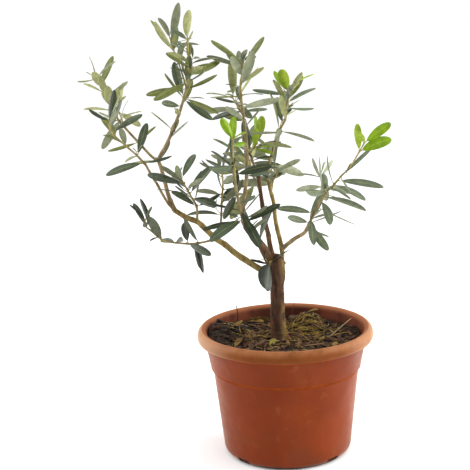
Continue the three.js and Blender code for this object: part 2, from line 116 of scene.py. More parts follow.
# Trunk
TRUNK_FOOT = np.array([-5.6, 1.1, SOIL_TOP + GAP])
FLARE_RADIUS = 3.2
FLARE_HEIGHT = 8
FLARE_LOBES = 5
FLARE_LOBE_SHARE = 0.45
FORK_SWELL = 2.5
FORK_START = 0.7
FORK_FULL = 0.87
TRUNK_DOME = 8
TRUNK_DOME_ANGLES = (25, 45, 62, 78)
TRUNK_SIDES = 72
TRUNK_RINGS = 120
# Bark relief, coarse to fine: height, grain and stretch along the trunk; and the girth that it is drawn at
TRUNK_RELIEF = ((0.55, 0.28, 0.35), (0.42, 0.75, 0.14), (0.22, 1.9, 0.3))
TRUNK_GIRTH = 6.5
# Old ring scars: height above the soil and depth
TRUNK_SCARS = (
    (5.5, -0.35), (7, 0.3), (11, -0.3), (12.2, 0.25), (19, -0.25), (33, 0.3), (34.5, -0.3), (51, -0.3),
)
SCAR_WIDTH = 0.55

# Boughs and stems: sides, the old leaf scars on a bough, and where a stem turns green; and how far collars,
# knots and tips reach against a limb's radius
BOUGH_SIDES = 28
STEM_SIDES = 12
TIP_SIDES = 8
KNOT_SPACING = 17
KNOT_SEED = 5
GREEN_FROM = 0.45
COLLAR_REACH = 1.6
KNOT_REACH = 0.9
TIP_REACH = 0.6
# Bark relief, coarse and fine: height, grain, stretch along the limb, and a shift that sets the two apart
LIMB_RELIEF = ((0.32, 1.1, 0.3, 0), (0.22, 3.2, 0.5, 40))

# Leaves
LEAF_LENGTH = 35
LEAF_LENGTH_SLACK = 0.3
LEAF_WIDTH_SHARE = 0.18
LEAF_WIDTH_SLACK = 0.1
LEAF_THICKNESS = 0.8
LEAF_STALK_SHARE = 0.1
LEAF_STALK_WIDTH = 0.1
LEAF_TAPER = 0.7
LEAF_BLUNTNESS = 0.52
LEAF_SAG = 0.08
LEAF_CURL = 0.2
LEAF_MISSING = 0.04
SPREAD_LOW = 82
SPREAD_TIP = 48
SPREAD_SLACK = 32
ROLL_SLACK = 45
TWIST_SLACK = 50
SKYWARD = 0.5
# Size and breadth against the plain leaf: of old leaves, young ones, and those of an odd spray
PLAIN = (1, 0.91)
YOUNG = (0.75, 1.25)
SHAPED = {"fork_spray": (0.72, 2.4)}
# How far a leaf may be turned round its shoot to clear its neighbours
NUDGES = (0, 10, -10, 20, -20, 32, -32)
# Where a leaf has rings along it, where a ring has points across it, the sides on top, and the belts of faces
# that are stalk or that may touch the shoot
LEAF_SHARES = (0, 0.06, 0.11, 0.14, 0.2, 0.29, 0.4, 0.52, 0.64, 0.75, 0.85, 0.92, 0.97, 0.993, 1)
RIB = 0.07
RIB_GROOVE = 0.25
LEAF_ACROSS = (-1, -0.5, -RIB, RIB, 0.5, 1)
LEAF_SIDES = 2 * len(LEAF_ACROSS) - 2
RIB_SIDE = 2
UPPER_SIDES = 5
STALK_BELTS = 2
TOUCHING_BELTS = 3
# The parts of a leaf's skin: upper face, rib and stalk, and underside
UPPER, STALK, UNDER = range(3)

# Side twigs
TWIG_RADIUS = (1, 0.7)
TWIG_PAIRS = (0.5, 0.8, 1)
TWIG_LENGTH = 34
TWIG_SLACK = 0.25
TWIG_TURN = 120
TWIG_LEAN = 35
TWIG_LEAN_SLACK = 45
TWIG_RISE = 12
TWIG_SWING = 10

# Finer growth that the part's source leaves out: how often a pair bears a twiglet, and the sizes of it
TWIGLET_SHARE = 0.22
TWIGLET_LENGTH = 7
TWIGLET_RADIUS = 0.5
TWIGLET_LEAF = 0.3
BUD_LENGTH = 2.4
BUD_RADIUS = 0.8
BUD_SIDES = 6
BUD_FLATNESS = 0.7
BUD_SHAPE = ((0, 0.6), (0.3, 1), (0.65, 0.7), (0.9, 0.28))

# Seeded random numbers, as the part's source deals them
SEED_FACTOR = 2654435761
CHANCE_FACTOR = 1664525
CHANCE_STEP = 1013904223
CHANCE_RANGE = 2**32
CHANCE_SKIPS = 4


def chance_from(seed):
    """Even random numbers from 0 to 1 that depend on the seed alone"""
    state = (seed * SEED_FACTOR) % CHANCE_RANGE

    def step():
        nonlocal state
        state = (state * CHANCE_FACTOR + CHANCE_STEP) % CHANCE_RANGE
        return state / CHANCE_RANGE

    for _ in range(CHANCE_SKIPS):
        step()
    return step


def swing(share, reach):
    """A share from 0 to 1 as a swing to either side"""
    return (2 * share - 1) * reach


class Limb(NamedTuple):
    """A limb or shoot: parent and place along it, end radii, legs as length, lean and bearing, and growths"""

    on: str
    at: float
    radius: tuple
    legs: list
    growths: list = ()


def side_twig(on, at, seed, toward, growth):
    """A side twig of two legs, from its seed and the bearing that it is turned to, with one growth"""
    chance = chance_from(seed)
    bearing = toward + TWIG_TURN * (chance() - 0.5)
    lean = TWIG_LEAN + TWIG_LEAN_SLACK * chance()
    half = 0.5 * TWIG_LENGTH * (1 + swing(chance(), TWIG_SLACK))
    legs = [(half, lean, bearing), (half, lean - TWIG_RISE, bearing + TWIG_SWING)]
    return Limb(on, at, TWIG_RADIUS, legs, [(growth, *TWIG_PAIRS)])


# Trunk and boughs, as in the part's source
LIMBS = {
    "trunk": Limb(None, 0, (7.4, 6.9), [(22, 4, 163), (21, 1, 96), (17, 0, 39), (22, 3, 175)]),
    "left_bough": Limb("trunk", 0.82, (3.3, 2.5), [
        (16, 64, 180), (28, 56, 177), (18, 50, 177), (11, 56, 173),
        (17, 46, 171), (8.5, 49, 170), (12, 67, 175), (14, 58, 175),
    ]),
    "left_high_bough": Limb("left_bough", 1, (2.3, 1.6), [
        (17, 21, 161), (15, 15, 149), (14, 16, 149), (8.6, 9, 179), (19, 34, 326), (17, 33, 320),
    ]),
    "left_outer_bough": Limb("left_bough", 1, (1.5, 1.2), [
        (13, 37, 195), (20, 27, 207), (10, 31, 213), (17, 31, 225),
    ]),
    "middle_bough": Limb("trunk", 0.91, (4.9, 2.7), [
        (16, 34, 215), (15, 30, 220), (12, 39, 221), (14, 42, 214), (12, 28, 222),
    ]),
    "leader_bough": Limb("middle_bough", 1, (2.0, 1.6), [
        (14, 16, 86), (16, 17, 63), (14, 18, 66), (17, 14, 78), (17, 13, 93),
    ]),
    "back_bough": Limb("trunk", 0.93, (2.7, 1.9), [
        (22, 21, 131), (13, 20, 113), (14, 25, 124), (16, 16, 115), (17, 18, 112), (13, 16, 111),
    ]),
    "right_bough": Limb("trunk", 0.9, (2.6, 1.7), [
        (13, 34, 34), (10, 11, 77), (8.4, 18, 126), (12, 16, 141), (13, 16, 124),
        (14, 13, 108), (12, 20, 134), (11, 14, 134), (14, 11, 128),
    ]),
    "right_low_bough": Limb("right_bough", 0.22, (2.2, 1.8), [(18, 51, 339), (14, 57, 330), (13, 34, 315)]),
}
STUB = Limb("trunk", 0.93, (2.4, 1.5), [(11, 62, 352)])
BARE_TIP = Limb("left_tall_spray", 0.99, (0.6, 0.25), [(11, 12, 190), (9, 20, 200)])

# Shoots, as in the part's source. A main shoot has the name of its spray, and a side twig grows in the spray
# of the shoot that bears it. A growth has the seed that deals its leaves and the places of its leaf pairs.
SHOOTS = {
    "fork_spray": Limb("left_bough", 0.1, (0.9, 0.7), [(11, 51, 288), (8, 39, 289)], [(37639, 0.8, 1)]),
    "left_low_spray": Limb("left_bough", 0.5, (1.2, 0.7), [
        (14, 96, 211), (15, 90, 203), (19, 79, 202), (11, 71, 202),
        (15, 46, 203), (6.8, 46, 202), (6.7, 19, 248),
    ], [(4725, 0.2, 0.3), (45044, 0.58, 0.85, 0.98)]),
    "left_inner_spray": Limb("left_bough", 0.75, (1.3, 0.7), [
        (16, 11, 274), (11, 27, 215), (14, 31, 224), (11, 31, 225),
    ], [(31511, 0.26, 0.5, 0.6), (99876, 0.72, 0.93, 1)]),
    "slim_spray": Limb("left_bough", 0.5, (1.2, 0.8), [
        (16, 24, 38), (22, 11, 66), (19, 14, 69), (13, 13, 102),
    ], [(68638, 0.35, 0.48), (13238, 0.58, 0.73, 0.97)]),
    "left_outer_spray": Limb("left_outer_bough", 0.99, (1.2, 0.8), [
        (16, 44, 221), (15, 49, 223), (22, 46, 219), (13, 24, 261),
    ], [(29035, 0.03, 0.5), (89189, 0.74, 0.9, 0.99)]),
    "left_tall_spray": Limb("left_high_bough", 0.66, (1.6, 0.7), [
        (7.6, 77, 157), (21, 50, 149), (29, 48, 150), (15, 40, 143),
        (15, 38, 139), (17, 37, 136), (12, 29, 138),
    ], [(59748, 0.29, 0.43), (27124, 0.56, 0.64, 0.73), (62879, 0.83, 0.94)]),
    "left_tall_twig": side_twig("left_tall_spray", 0.4, 54, 70, 54572),
    "left_top_spray": Limb("left_high_bough", 1, (1.6, 0.7), [
        (21, 32, 312), (16, 29, 311), (14, 28, 309), (13, 28, 305),
        (11, 16, 291), (14, 17, 257), (18, 12, 268),
    ], [(27501, 0, 0.14, 0.32), (2733, 0.44, 0.52, 0.58), (38954, 0.68, 0.8, 0.86, 0.96)]),
    "left_top_twig": Limb("left_top_spray", 0.43, (1, 0.6), [
        (14, 27, 127), (16, 25, 133), (13, 32, 133), (9.7, 23, 125),
    ], [(95032, 0.45, 0.67, 0.79, 0.97)]),
    "middle_spray": Limb("middle_bough", 1, (1.6, 0.7), [
        (16, 22, 239), (19, 20, 247), (17, 17, 258), (12, 20, 267), (17, 21, 262), (12, 20, 284),
    ], [(89718, 0.01, 0.07, 0.12), (57286, 0.29, 0.5, 0.66, 0.82), (49458, 0.9, 0.98)]),
    "leader_spray": Limb("leader_bough", 1, (1.6, 0.8), [
        (12, 11, 116), (12, 11, 118), (20, 8, 134), (13, 5, 111), (11, 11, 27), (12, 10, 35),
    ], [(87753, 0.1, 0.29, 0.39), (61099, 0.45, 0.52, 0.63), (14782, 0.73, 0.84, 0.92, 1)]),
    "leader_twig": side_twig("leader_spray", 0.35, 19, 90, 14850),
    "centre_spray": Limb("back_bough", 0.99, (1.3, 0.7), [
        (9.3, 20, 180), (11, 19, 195), (6.2, 13, 228), (7, 36, 346), (6.8, 26, 0),
    ], [(90680, 0.13, 0.24, 0.35, 0.58), (39148, 0.76, 0.98)]),
    "right_top_spray": Limb("right_bough", 0.99, (1.5, 0.8), [
        (14, 26, 31), (13, 21, 43), (15, 28, 32), (11, 31, 21),
        (11, 18, 62), (11, 19, 60), (12, 15, 80),
    ], [(6702, 0.14, 0.3, 0.41), (9290, 0.57, 0.73, 0.83, 0.89), (67388, 0.93, 0.99)]),
    "right_inner_spray": Limb("right_bough", 0.85, (1, 0.7), [
        (6.4, 49, 317), (8.4, 46, 304), (7.5, 49, 299),
    ], [(48207, 0.37, 0.66, 0.98)]),
    "right_spray": Limb("right_low_bough", 0.99, (1.3, 0.7), [
        (13, 31, 312), (16, 33, 316), (13, 40, 316), (13, 48, 319),
        (13, 44, 318), (16, 46, 323), (29, 35, 320),
    ], [(97565, 0.01, 0.06, 0.14, 0.3), (26090, 0.36, 0.45, 0.57, 0.71), (64889, 0.95), (74888, 1)]),
    "right_twig": side_twig("right_spray", 0.4, 44, 80, 31875),
    "back_spray": Limb("back_bough", 0.78, (1.1, 0.7), [
        (20, 68, 104), (19, 72, 105), (19, 74, 101), (16, 64, 98),
    ], [(61706, 0.25, 0.45, 0.62, 0.8, 0.97)]),
    "back_left_twig": side_twig("back_spray", 0.35, 49, 150, 42502),
    "back_twig": side_twig("back_spray", 0.62, 13, 40, 29270),
    "back_right_spray": Limb("right_bough", 0.76, (1, 0.7), [
        (18, 73, 85), (21, 72, 90), (20, 68, 96),
    ], [(48460, 0.3, 0.52, 0.75, 0.97)]),
    "back_right_twig": side_twig("back_right_spray", 0.5, 13, 30, 85942),
}
YOUNG_GROWTHS = (49458, 39148, 67388, 64889, 74888)

# Late growths, finer than the part's source has them, and the sprays of those that are on older wood
LATE_GROWTHS = (
    ("left_top_spray", 52247, 0.06, 0.22),
    ("left_high_bough", 50222, 0.62, 0.9),
    ("right_top_spray", 32958, 0.5, 0.66, 0.78),
    ("left_tall_spray", 50992, 0.5, 0.6, 0.78),
    ("right_spray", 4372, 0.4, 0.52, 0.64),
    ("right_low_bough", 81689, 0.75, 0.95),
    ("left_low_spray", 69284, 0.25, 0.4, 0.7),
    ("middle_bough", 90546, 0.5, 0.75),
    ("leader_spray", 73663, 0.2, 0.35, 0.58),
    ("leader_spray", 83053, 0.68, 0.8, 0.96),
    ("centre_spray", 16739, 0.3, 0.5, 0.9),
    ("left_outer_spray", 54800, 0.2, 0.65, 0.8),
    ("left_top_twig", 65468, 0.55, 0.88),
    ("left_top_spray", 55663, 0.5, 0.62, 0.74),
    ("middle_spray", 86912, 0.2, 0.4, 0.58, 0.74),
    ("slim_spray", 49343, 0.65, 0.85),
    ("left_inner_spray", 80540, 0.4, 0.66, 0.85),
    ("middle_bough", 36054, 0.95),
    ("left_top_spray", 40311, 0.3),
    ("left_top_spray", 76468, 0.42),
    ("left_low_spray", 78666, 0.55),
    ("leader_spray", 65438, 0.45),
    ("right_spray", 55207, 0.22),
    ("left_bough", 9089, 0.6),
)
BOUGH_SPRAYS = {
    "left_bough": "left_inner_spray",
    "left_high_bough": "left_top_spray",
    "middle_bough": "middle_spray",
    "right_low_bough": "right_spray",
}

# What lies on the soil where the photograph shows it. Heaps have a place, a height and a radius; stalks and
# logs have two ends, a radius or a width, and a tone; fallen leaves have a place, a length and a tone.
HEAPS = ((24, 40, 14, 15), (-70, 20, 14, 22), (-64, -10, 6, 18), (70, 24, 6, 14), (-28, 50, 2.5, 16))
STALKS = (
    ((-50, 57, 118), (-51, 56, 138), 0.8, 3),
    ((45, -4, 120), (69, 30, 129), 0.45, 2),
    ((47, 0, 120), (66, 8, 121), 0.5, 1),
    ((6, 62, 121), (11, 70, 139), 0.3, 3),
    ((18, -30, 119), (40, -27, 120), 0.45, 2),
)
STALK_BOW = (0.6, 0.8)
LOGS = (
    ((-60, -12, 119.5), (-40, 2, 121), 3.6, 3),
    ((40, -6, 121), (55, -22, 119.5), 4.2, 1),
    ((13, -33, 118), (13, -25, 127), 3.2, 2),
    ((4, -28, 119), (2, -20, 122), 4, 2),
    ((-30, 8, 120), (-21, 13, 122), 6, 1),
)
LOG_FLATNESS = 0.7
FALLEN = (
    (-13, -22, 15, 0), (-4, -24, 13, 0), (-24, -30, 12, 1), (-53, 10, 10, 0), (-26, 55, 24, 1),
    (-31, 50, 20, 1), (28, 44, 16, 1), (-38, 20, 14, 0), (-46, -8, 12, 0), (20, 20, 13, 0),
)

# What is strewn by chance: seeds, counts, sizes, and how far each stays from the wall
TRUNK_CLEARANCE = 11
CRUMB_SEED = 11
CRUMB_COUNT = 620
CRUMB_SIZES = (1.1, 1.5, 2.1, 3.0)
CRUMB_TILT = 22
CRUMB_EDGE = 3
CRUMB_REACH = 1.5
CRUMB_LIFT = 0.3
DARK_CRUMBS = 40
LEFT_HEAP = -40
LEFT_HEAP_SIZE = 1.35
CHIP_SEED = 23
CHIP_COUNT = 230
CHIP_TILT = 13
CHIP_EDGE = 8
CHIP_LIFT = 0.8
DARK_CHIPS = 42
CHIP_SHARES = (-1, -0.6, -0.1, 0.4, 0.75, 1)
CHIP_SECTION = ((1, 0), (0.5, 0.9), (-0.3, 1.1), (-0.8, 0.6), (-1, -0.2), (-0.2, -1), (0.6, -0.7))
STRAW_SEED = 31
MOUND = (23, 12)
MOUND_SPREAD = (8.5, 1.3)
MOUND_STRAWS = 300
MOUND_ROWS = 5
MOUND_ROW_STEP = 8.5
NEST = (28, 45)
NEST_REACH = (7, 6)
NEST_STRAWS = 36
LOOSE_STRAWS = 140
LOOSE_EDGE = 16
STRAW_END_EDGE = 3
STRAND_SIDES = 5
STRAND_STEPS = 7
STRAND_TAPER = 0.35
FALLEN_SEED = 47
FALLEN_COUNT = 26
FALLEN_TILT = 20
FALLEN_LIFT = 2.2

# The tones that each spray's leaves are dealt from
TONES = {
    # The low sprays under the crown take the near-black tone: painted shade
    "fork_spray": ("deep_shaded", "deep_shaded"),
    "left_low_spray": ("deep_shaded", "dark", "deep_shaded"),
    "left_inner_spray": ("grey", "dark", "grey"),
    "slim_spray": ("grey", "dark"),
    "left_outer_spray": ("dark", "olive", "grey"),
    "left_tall_spray": ("olive", "grey", "olive"),
    "left_top_spray": ("olive", "grey", "olive", "olive", "grey"),
    "middle_spray": ("dark", "grey", "dark"),
    "leader_spray": ("grey", "olive", "pale", "dark"),
    "centre_spray": ("grey", "olive", "dark"),
    "right_top_spray": ("pale", "olive", "grey"),
    "right_inner_spray": ("grey", "dark"),
    "right_spray": ("pale", "grey", "pale"),
    "back_spray": ("grey", "olive", "dark"),
    "back_right_spray": ("dark", "grey"),
}

# Leaf colours: upper face, rib and stalk, underside; and the roughness and gloss of each
LEAF_COLORS = {
    # The near-black tone: painted shade for low leaves under the crown
    "deep_shaded": ((0.016, 0.021, 0.012), (0.072, 0.082, 0.033), (0.100, 0.110, 0.070)),
    "dark": ((0.030, 0.042, 0.020), (0.110, 0.125, 0.046), (0.160, 0.175, 0.102)),
    "grey": ((0.076, 0.100, 0.058), (0.190, 0.210, 0.092), (0.245, 0.265, 0.165)),
    "pale": ((0.122, 0.150, 0.090), (0.250, 0.270, 0.125), (0.320, 0.345, 0.225)),
    "olive": ((0.132, 0.152, 0.036), (0.255, 0.262, 0.074), (0.300, 0.310, 0.135)),
    "young": ((0.185, 0.312, 0.005), (0.29, 0.40, 0.03), (0.27, 0.375, 0.030)),
}
LEAF_TONES = list(LEAF_COLORS)
LEAF_SKINS = (("leaf", 0.36, 0.26), ("rib", 0.5, 0.2), ("underside", 0.65, 0.15))

# Barks: shade, light and specks; and the boughs' barks
BARKS = {
    "bough_low": ((0.150, 0.102, 0.029), (0.310, 0.226, 0.078), (0.070, 0.043, 0.016)),
    "bough_high": ((0.165, 0.116, 0.055), (0.330, 0.252, 0.135), (0.082, 0.050, 0.022)),
    "bough_old": ((0.078, 0.038, 0.018), (0.190, 0.104, 0.048), (0.036, 0.019, 0.010)),
    "bough_pale": ((0.225, 0.165, 0.082), (0.430, 0.335, 0.185), (0.120, 0.080, 0.036)),
    "twig_brown": ((0.148, 0.110, 0.050), (0.298, 0.236, 0.118), (0.085, 0.057, 0.026)),
    "twig_green": ((0.210, 0.162, 0.048), (0.370, 0.308, 0.120), (0.14, 0.100, 0.032)),
}
BOUGH_BARKS = {
    "left_bough": "bough_low",
    "right_bough": "bough_low",
    "middle_bough": "bough_old",
    "back_bough": "bough_old",
    "right_low_bough": "bough_pale",
}

# Mottled looks: dark and light tone, scale of the mottle, roughness, depth of relief, and gloss if special
MOTTLED = {
    # Pot creases: a colour without sheen, painted to set how dark the creases look in shade
    "pot_fold_shading": ((0.190, 0.032, 0.0045), (0.240, 0.045, 0.0070), 60, 0.9, 0.1, 0.05),
    "compost": ((0.013, 0.0085, 0.006), (0.050, 0.028, 0.016), 220, 0.95, 0.8),
    "crumb_black": ((0.011, 0.0075, 0.0055), (0.038, 0.023, 0.015), 300, 0.9, 0.5),
    "crumb_brown": ((0.030, 0.013, 0.006), (0.078, 0.034, 0.015), 300, 0.9, 0.5),
    "crumb_red": ((0.070, 0.032, 0.016), (0.14, 0.070, 0.034), 300, 0.9, 0.5),
    "chip_dark": ((0.028, 0.013, 0.006), (0.075, 0.035, 0.014), 150, 0.85, 0.6),
    "chip_brown": ((0.047, 0.0215, 0.0085), (0.108, 0.052, 0.020), 150, 0.85, 0.6),
    "chip_tan": ((0.106, 0.051, 0.017), (0.198, 0.102, 0.037), 150, 0.85, 0.6),
    "chip_gold": ((0.17, 0.105, 0.024), (0.29, 0.19, 0.055), 150, 0.85, 0.6),
    "straw_olive": ((0.105, 0.068, 0.012), (0.230, 0.150, 0.026), 240, 0.8, 0.1),
    "straw_gold": ((0.185, 0.112, 0.022), (0.34, 0.22, 0.055), 240, 0.8, 0.1),
    "straw_pale": ((0.26, 0.175, 0.070), (0.42, 0.30, 0.14), 240, 0.8, 0.1),
    "stalk_dark": ((0.026, 0.016, 0.010), (0.07, 0.042, 0.024), 240, 0.85, 0.1),
    "dry_leaf_olive": ((0.115, 0.098, 0.012), (0.21, 0.175, 0.026), 130, 0.7, 0.2),
    "dry_leaf_ochre": ((0.120, 0.066, 0.013), (0.215, 0.128, 0.030), 130, 0.7, 0.2),
    "dry_leaf_brown": ((0.050, 0.024, 0.010), (0.112, 0.055, 0.022), 130, 0.75, 0.2),
}
MOTTLE_GLOSS = 0.25
NOISE_ROUGHNESS = 0.55
SHEEN_ROUGHNESS = 0.3

# How sharp an edge has to be to look sharp
SMOOTH = 180
SOIL_CREASE = 80
CHIP_CREASE = 35
FALLEN_CREASE = 70
LEAF_CREASE = 75


def unit(vector):
    return vector / np.linalg.norm(vector)


def square_to(axis, way):
    """The way nearest to the one given that is square to the axis"""
    return unit(way - way.dot(axis) * axis)


def turned(start, toward, degrees):
    """A way turned from one way towards another that is square to it"""
    angle = math.radians(degrees)
    return math.cos(angle) * start + math.sin(angle) * toward


def polar(radius, angle):
    return radius * math.cos(angle), radius * math.sin(angle)


def bell(offset, width):
    """A bump that falls off to either side"""
    return math.exp(-((offset / width) ** 2))


def smoothstep(value, start, end):
    share = np.clip((value - start) / (end - start), 0, 1)
    return share * share * (3 - 2 * share)


def around(sides):
    """Angles of the points round a ring"""
    return np.arange(sides) * 2 * math.pi / sides


def ring(middle, girth, across, over, sides):
    """Points round a middle, at one girth or at a girth for each point"""
    angles = around(sides)
    ways = np.cos(angles)[:, None] * across + np.sin(angles)[:, None] * over
    return middle + np.reshape(girth, (-1, 1)) * ways


class Path:
    """A smooth line through the ends of its legs, with a point beyond either end to guide it"""

    def __init__(self, start, legs):
        self.points = [np.array(start, float)]
        for length, lean, bearing in legs:
            lean = math.radians(lean)
            level = polar(math.sin(lean), math.radians(bearing))
            self.points.append(self.points[-1] + length * np.array([*level, math.cos(lean)]))
        self.points.insert(0, 2 * self.points[0] - self.points[1])
        self.points.append(2 * self.points[-1] - self.points[-2])
        self.length = sum(leg[0] for leg in legs)

    def at(self, place):
        last = len(self.points) - 4
        share = min(max(place, 0), 1) * (last + 1)
        k = min(int(share), last)
        share -= k
        before, a, b, after = self.points[k:k + 4]
        leave = 0.5 * (b - before)
        arrive = 0.5 * (after - a)
        bend = 3 * (b - a) - 2 * leave - arrive
        turn = 2 * (a - b) + leave + arrive
        return a + leave * share + bend * share**2 + turn * share**3

    def frame(self, place):
        """The middle, the way on, and two ways square to that: towards the viewer and to the side"""
        along = unit(self.at(min(place + 0.01, 1)) - self.at(max(place - 0.01, 0)))
        front = square_to(along, VIEWER)
        return self.at(place), along, front, np.cross(along, front)


def path_of(limb, paths):
    """The path of a limb from its place on its parent"""
    return Path(paths[limb.on].at(limb.at) if limb.on else TRUNK_FOOT, limb.legs)


def placed(name, data):
    """A new object in the scene"""
    thing = bpy.data.objects.new(name, data)
    bpy.context.scene.collection.objects.link(thing)
    return thing


def smooth(mesh, crease):
    mesh.polygons.foreach_set("use_smooth", [True] * len(mesh.polygons))
    mesh.set_sharp_from_angle(angle=math.radians(crease))


class Heap:
    """Points and faces of many small things that become one piece"""

    def __init__(self):
        self.places = []
        self.faces = []
        self.looks = []

    def add(self, places, faces, looks):
        start = len(self.places)
        self.places.extend(np.asarray(places).tolist())
        self.faces.extend([start + k for k in face] for face in faces)
        self.looks.extend([looks] * len(faces) if isinstance(looks, int) else looks)

    def piece(self, name, materials, crease, slot, *nodes):
        """The heap as an object of the plant or pot, which stands for the nodes named"""
        mesh = bpy.data.meshes.new(name)
        mesh.from_pydata((np.array(self.places) * MM).tolist(), [], self.faces)
        for material in materials:
            mesh.materials.append(material)
        mesh.polygons.foreach_set("material_index", self.looks)
        smooth(mesh, crease)
        mesh.update()
        piece = placed(name, mesh)
        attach(piece, "root")
        if nodes:
            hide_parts(*nodes)
        return piece


def loft(rings, first, last):
    """A skin over rings of points, closed by a point in the middle of either end"""
    rings = np.asarray(rings)
    count, sides = rings.shape[:2]
    places = [*rings.reshape(-1, 3), first, last]
    pairs = [(i, (i + 1) % sides) for i in range(sides)]
    faces = []
    for start in range(0, (count - 1) * sides, sides):
        faces.extend((start + a, start + b, start + b + sides, start + a + sides) for a, b in pairs)
    start = (count - 1) * sides
    faces.extend((count * sides, b, a) for a, b in pairs)
    faces.extend((count * sides + 1, start + a, start + b) for a, b in pairs)
    return np.array(places), faces


# Materials, with heights and depths along the axes in metres
class Look:
    """A material's node tree, with short calls for the nodes that the looks need"""

    def __init__(self, name, specular, roughness=0.8):
        self.material = bpy.data.materials.new(name)
        self.material.use_nodes = True
        self.tree = self.material.node_tree
        self.shader = self.tree.nodes["Principled BSDF"].inputs
        self.set(self.shader["Roughness"], roughness)
        self.set(self.shader["Specular IOR Level"], specular)
        self.places = self.add("ShaderNodeTexCoord", {})["Object"]

    def set(self, socket, value):
        if isinstance(value, bpy.types.NodeSocket):
            self.tree.links.new(value, socket)
        else:
            socket.default_value = (*value, 1) if socket.type == "RGBA" else value

    def add(self, kind, inputs, **settings):
        """The outputs of a new node, from what goes into it"""
        node = self.tree.nodes.new(kind)
        for key, value in settings.items():
            setattr(node, key, value)
        for key, value in inputs.items():
            self.set(node.inputs[key], value)
        return node.outputs

    def axis(self, name):
        return self.add("ShaderNodeSeparateXYZ", {"Vector": self.places})[name]

    def stretched(self, scale):
        """Places for a noise that is drawn out along Z"""
        return self.add("ShaderNodeMapping", {"Vector": self.places, "Scale": (1, 1, scale)})["Vector"]

    def noise(self, scale, detail, places=None, distortion=0):
        inputs = {"Scale": scale, "Detail": detail, "Roughness": NOISE_ROUGHNESS, "Distortion": distortion}
        return self.add("ShaderNodeTexNoise", {"Vector": places or self.places, **inputs})["Fac"]

    def span(self, value, low, high, start=0, end=1):
        inputs = {"Value": value, "From Min": low, "From Max": high, "To Min": start, "To Max": end}
        return self.add("ShaderNodeMapRange", inputs, interpolation_type="SMOOTHSTEP")["Result"]

    def combine(self, operation, a, b):
        return self.add("ShaderNodeMath", {0: a, 1: b}, operation=operation)["Value"]

    times = functools.partialmethod(combine, "MULTIPLY")
    plus = functools.partialmethod(combine, "ADD")

    def mix(self, share, a, b):
        return self.add("ShaderNodeMix", {"Factor": share, "A": a, "B": b}, data_type="RGBA")["Result"]

    def tint(self, base, value, low, high, color, most=1):
        """A base colour that turns to another as a value goes from low to high"""
        return self.mix(self.span(value, low, high, 0, most), base, color)

    def sheen(self, weight, color):
        for key, value in (("Weight", weight), ("Roughness", SHEEN_ROUGHNESS), ("Tint", color)):
            self.set(self.shader[f"Sheen {key}"], value)

    def roughen(self, scale, detail, low, high):
        """A roughness that wavers between two values"""
        self.set(self.shader["Roughness"], self.span(self.noise(scale, detail), 0.3, 0.7, low, high))

    def finish(self, color, relief, depth):
        """The material with its colour and its relief"""
        self.set(self.shader["Base Color"], color)
        bump = self.add("ShaderNodeBump", {"Height": relief, "Distance": depth * MM, "Strength": 1})
        self.set(self.shader["Normal"], bump["Normal"])
        return self.material


def pot_material():
    """Terracotta-coloured plastic with scuffs, stains low down, and painted shade darkening the foot where it
    meets the floor
    """
    look = Look("pot_plastic", 0.12)
    look.sheen(0.42, (1, 0.82, 0.62))
    height = look.axis("Z")
    base = look.tint((0.160, 0.0225, 0.0016), look.noise(13, 6), 0.34, 0.68, (0.205, 0.032, 0.0032))
    streaks = look.noise(34, 6, look.stretched(0.14))
    base = look.tint(base, streaks, 0.53, 0.8, (0.27, 0.072, 0.018), 0.34)
    scuffs = look.noise(95, 6, distortion=0.6)
    base = look.tint(base, scuffs, 0.6, 0.74, (0.31, 0.096, 0.030), 0.2)
    low = look.times(look.span(height, 0.06, 0.012), look.span(look.noise(44, 7), 0.46, 0.66))
    base = look.mix(look.times(low, 0.5), base, (0.125, 0.030, 0.010))
    # Painted shade: the lowest few millimetres darkened almost to black where the foot meets the floor
    base = look.tint(base, height, 0.0040, 0.0006, (0.030, 0.013, 0.011), 0.85)
    look.roughen(65, 5, 0.40, 0.58)
    return look.finish(base, look.plus(look.noise(700, 3), look.times(scuffs, 0.8)), 0.06)


def pot_rim_material():
    """The rolled rim, tanner than the body, with its crest paler from wear and a painted highlight, its left
    and right ends painted paler as light from the sides, and a trace of moss at the back
    """
    look = Look("pot_rim", 0.11)
    look.sheen(0.75, (1, 0.86, 0.64))
    side = look.axis("X")
    base = look.tint((0.152, 0.036, 0.0040), look.noise(48, 6), 0.34, 0.68, (0.195, 0.051, 0.0070))
    # Painted light: the left and right ends of the rim painted paler, where the side panels light it
    base = look.tint(base, side, -0.048, -0.086, (0.42, 0.23, 0.13), 0.75)
    base = look.tint(base, side, 0.05, 0.086, (0.36, 0.165, 0.075), 0.75)
    # The crest paler: partly wear, partly a painted highlight along the top of the rim
    crest = look.times(look.span(look.axis("Z"), 0.1235, 0.1305), look.span(look.noise(75, 6), 0.05, 0.85))
    base = look.mix(look.times(crest, 0.6), base, (0.42, 0.19, 0.082))
    chips = look.noise(230, 4)
    base = look.tint(base, chips, 0.62, 0.72, (0.13, 0.042, 0.016), 0.25)
    moss = look.times(look.span(side, -0.045, -0.065), look.span(look.axis("Y"), 0.025, 0.045))
    moss = look.times(moss, look.span(look.noise(110, 5), 0.4, 0.6, 0, 0.7))
    base = look.mix(moss, base, (0.24, 0.20, 0.05))
    look.roughen(65, 5, 0.46, 0.64)
    return look.finish(base, look.plus(look.noise(650, 3), chips), 0.08)


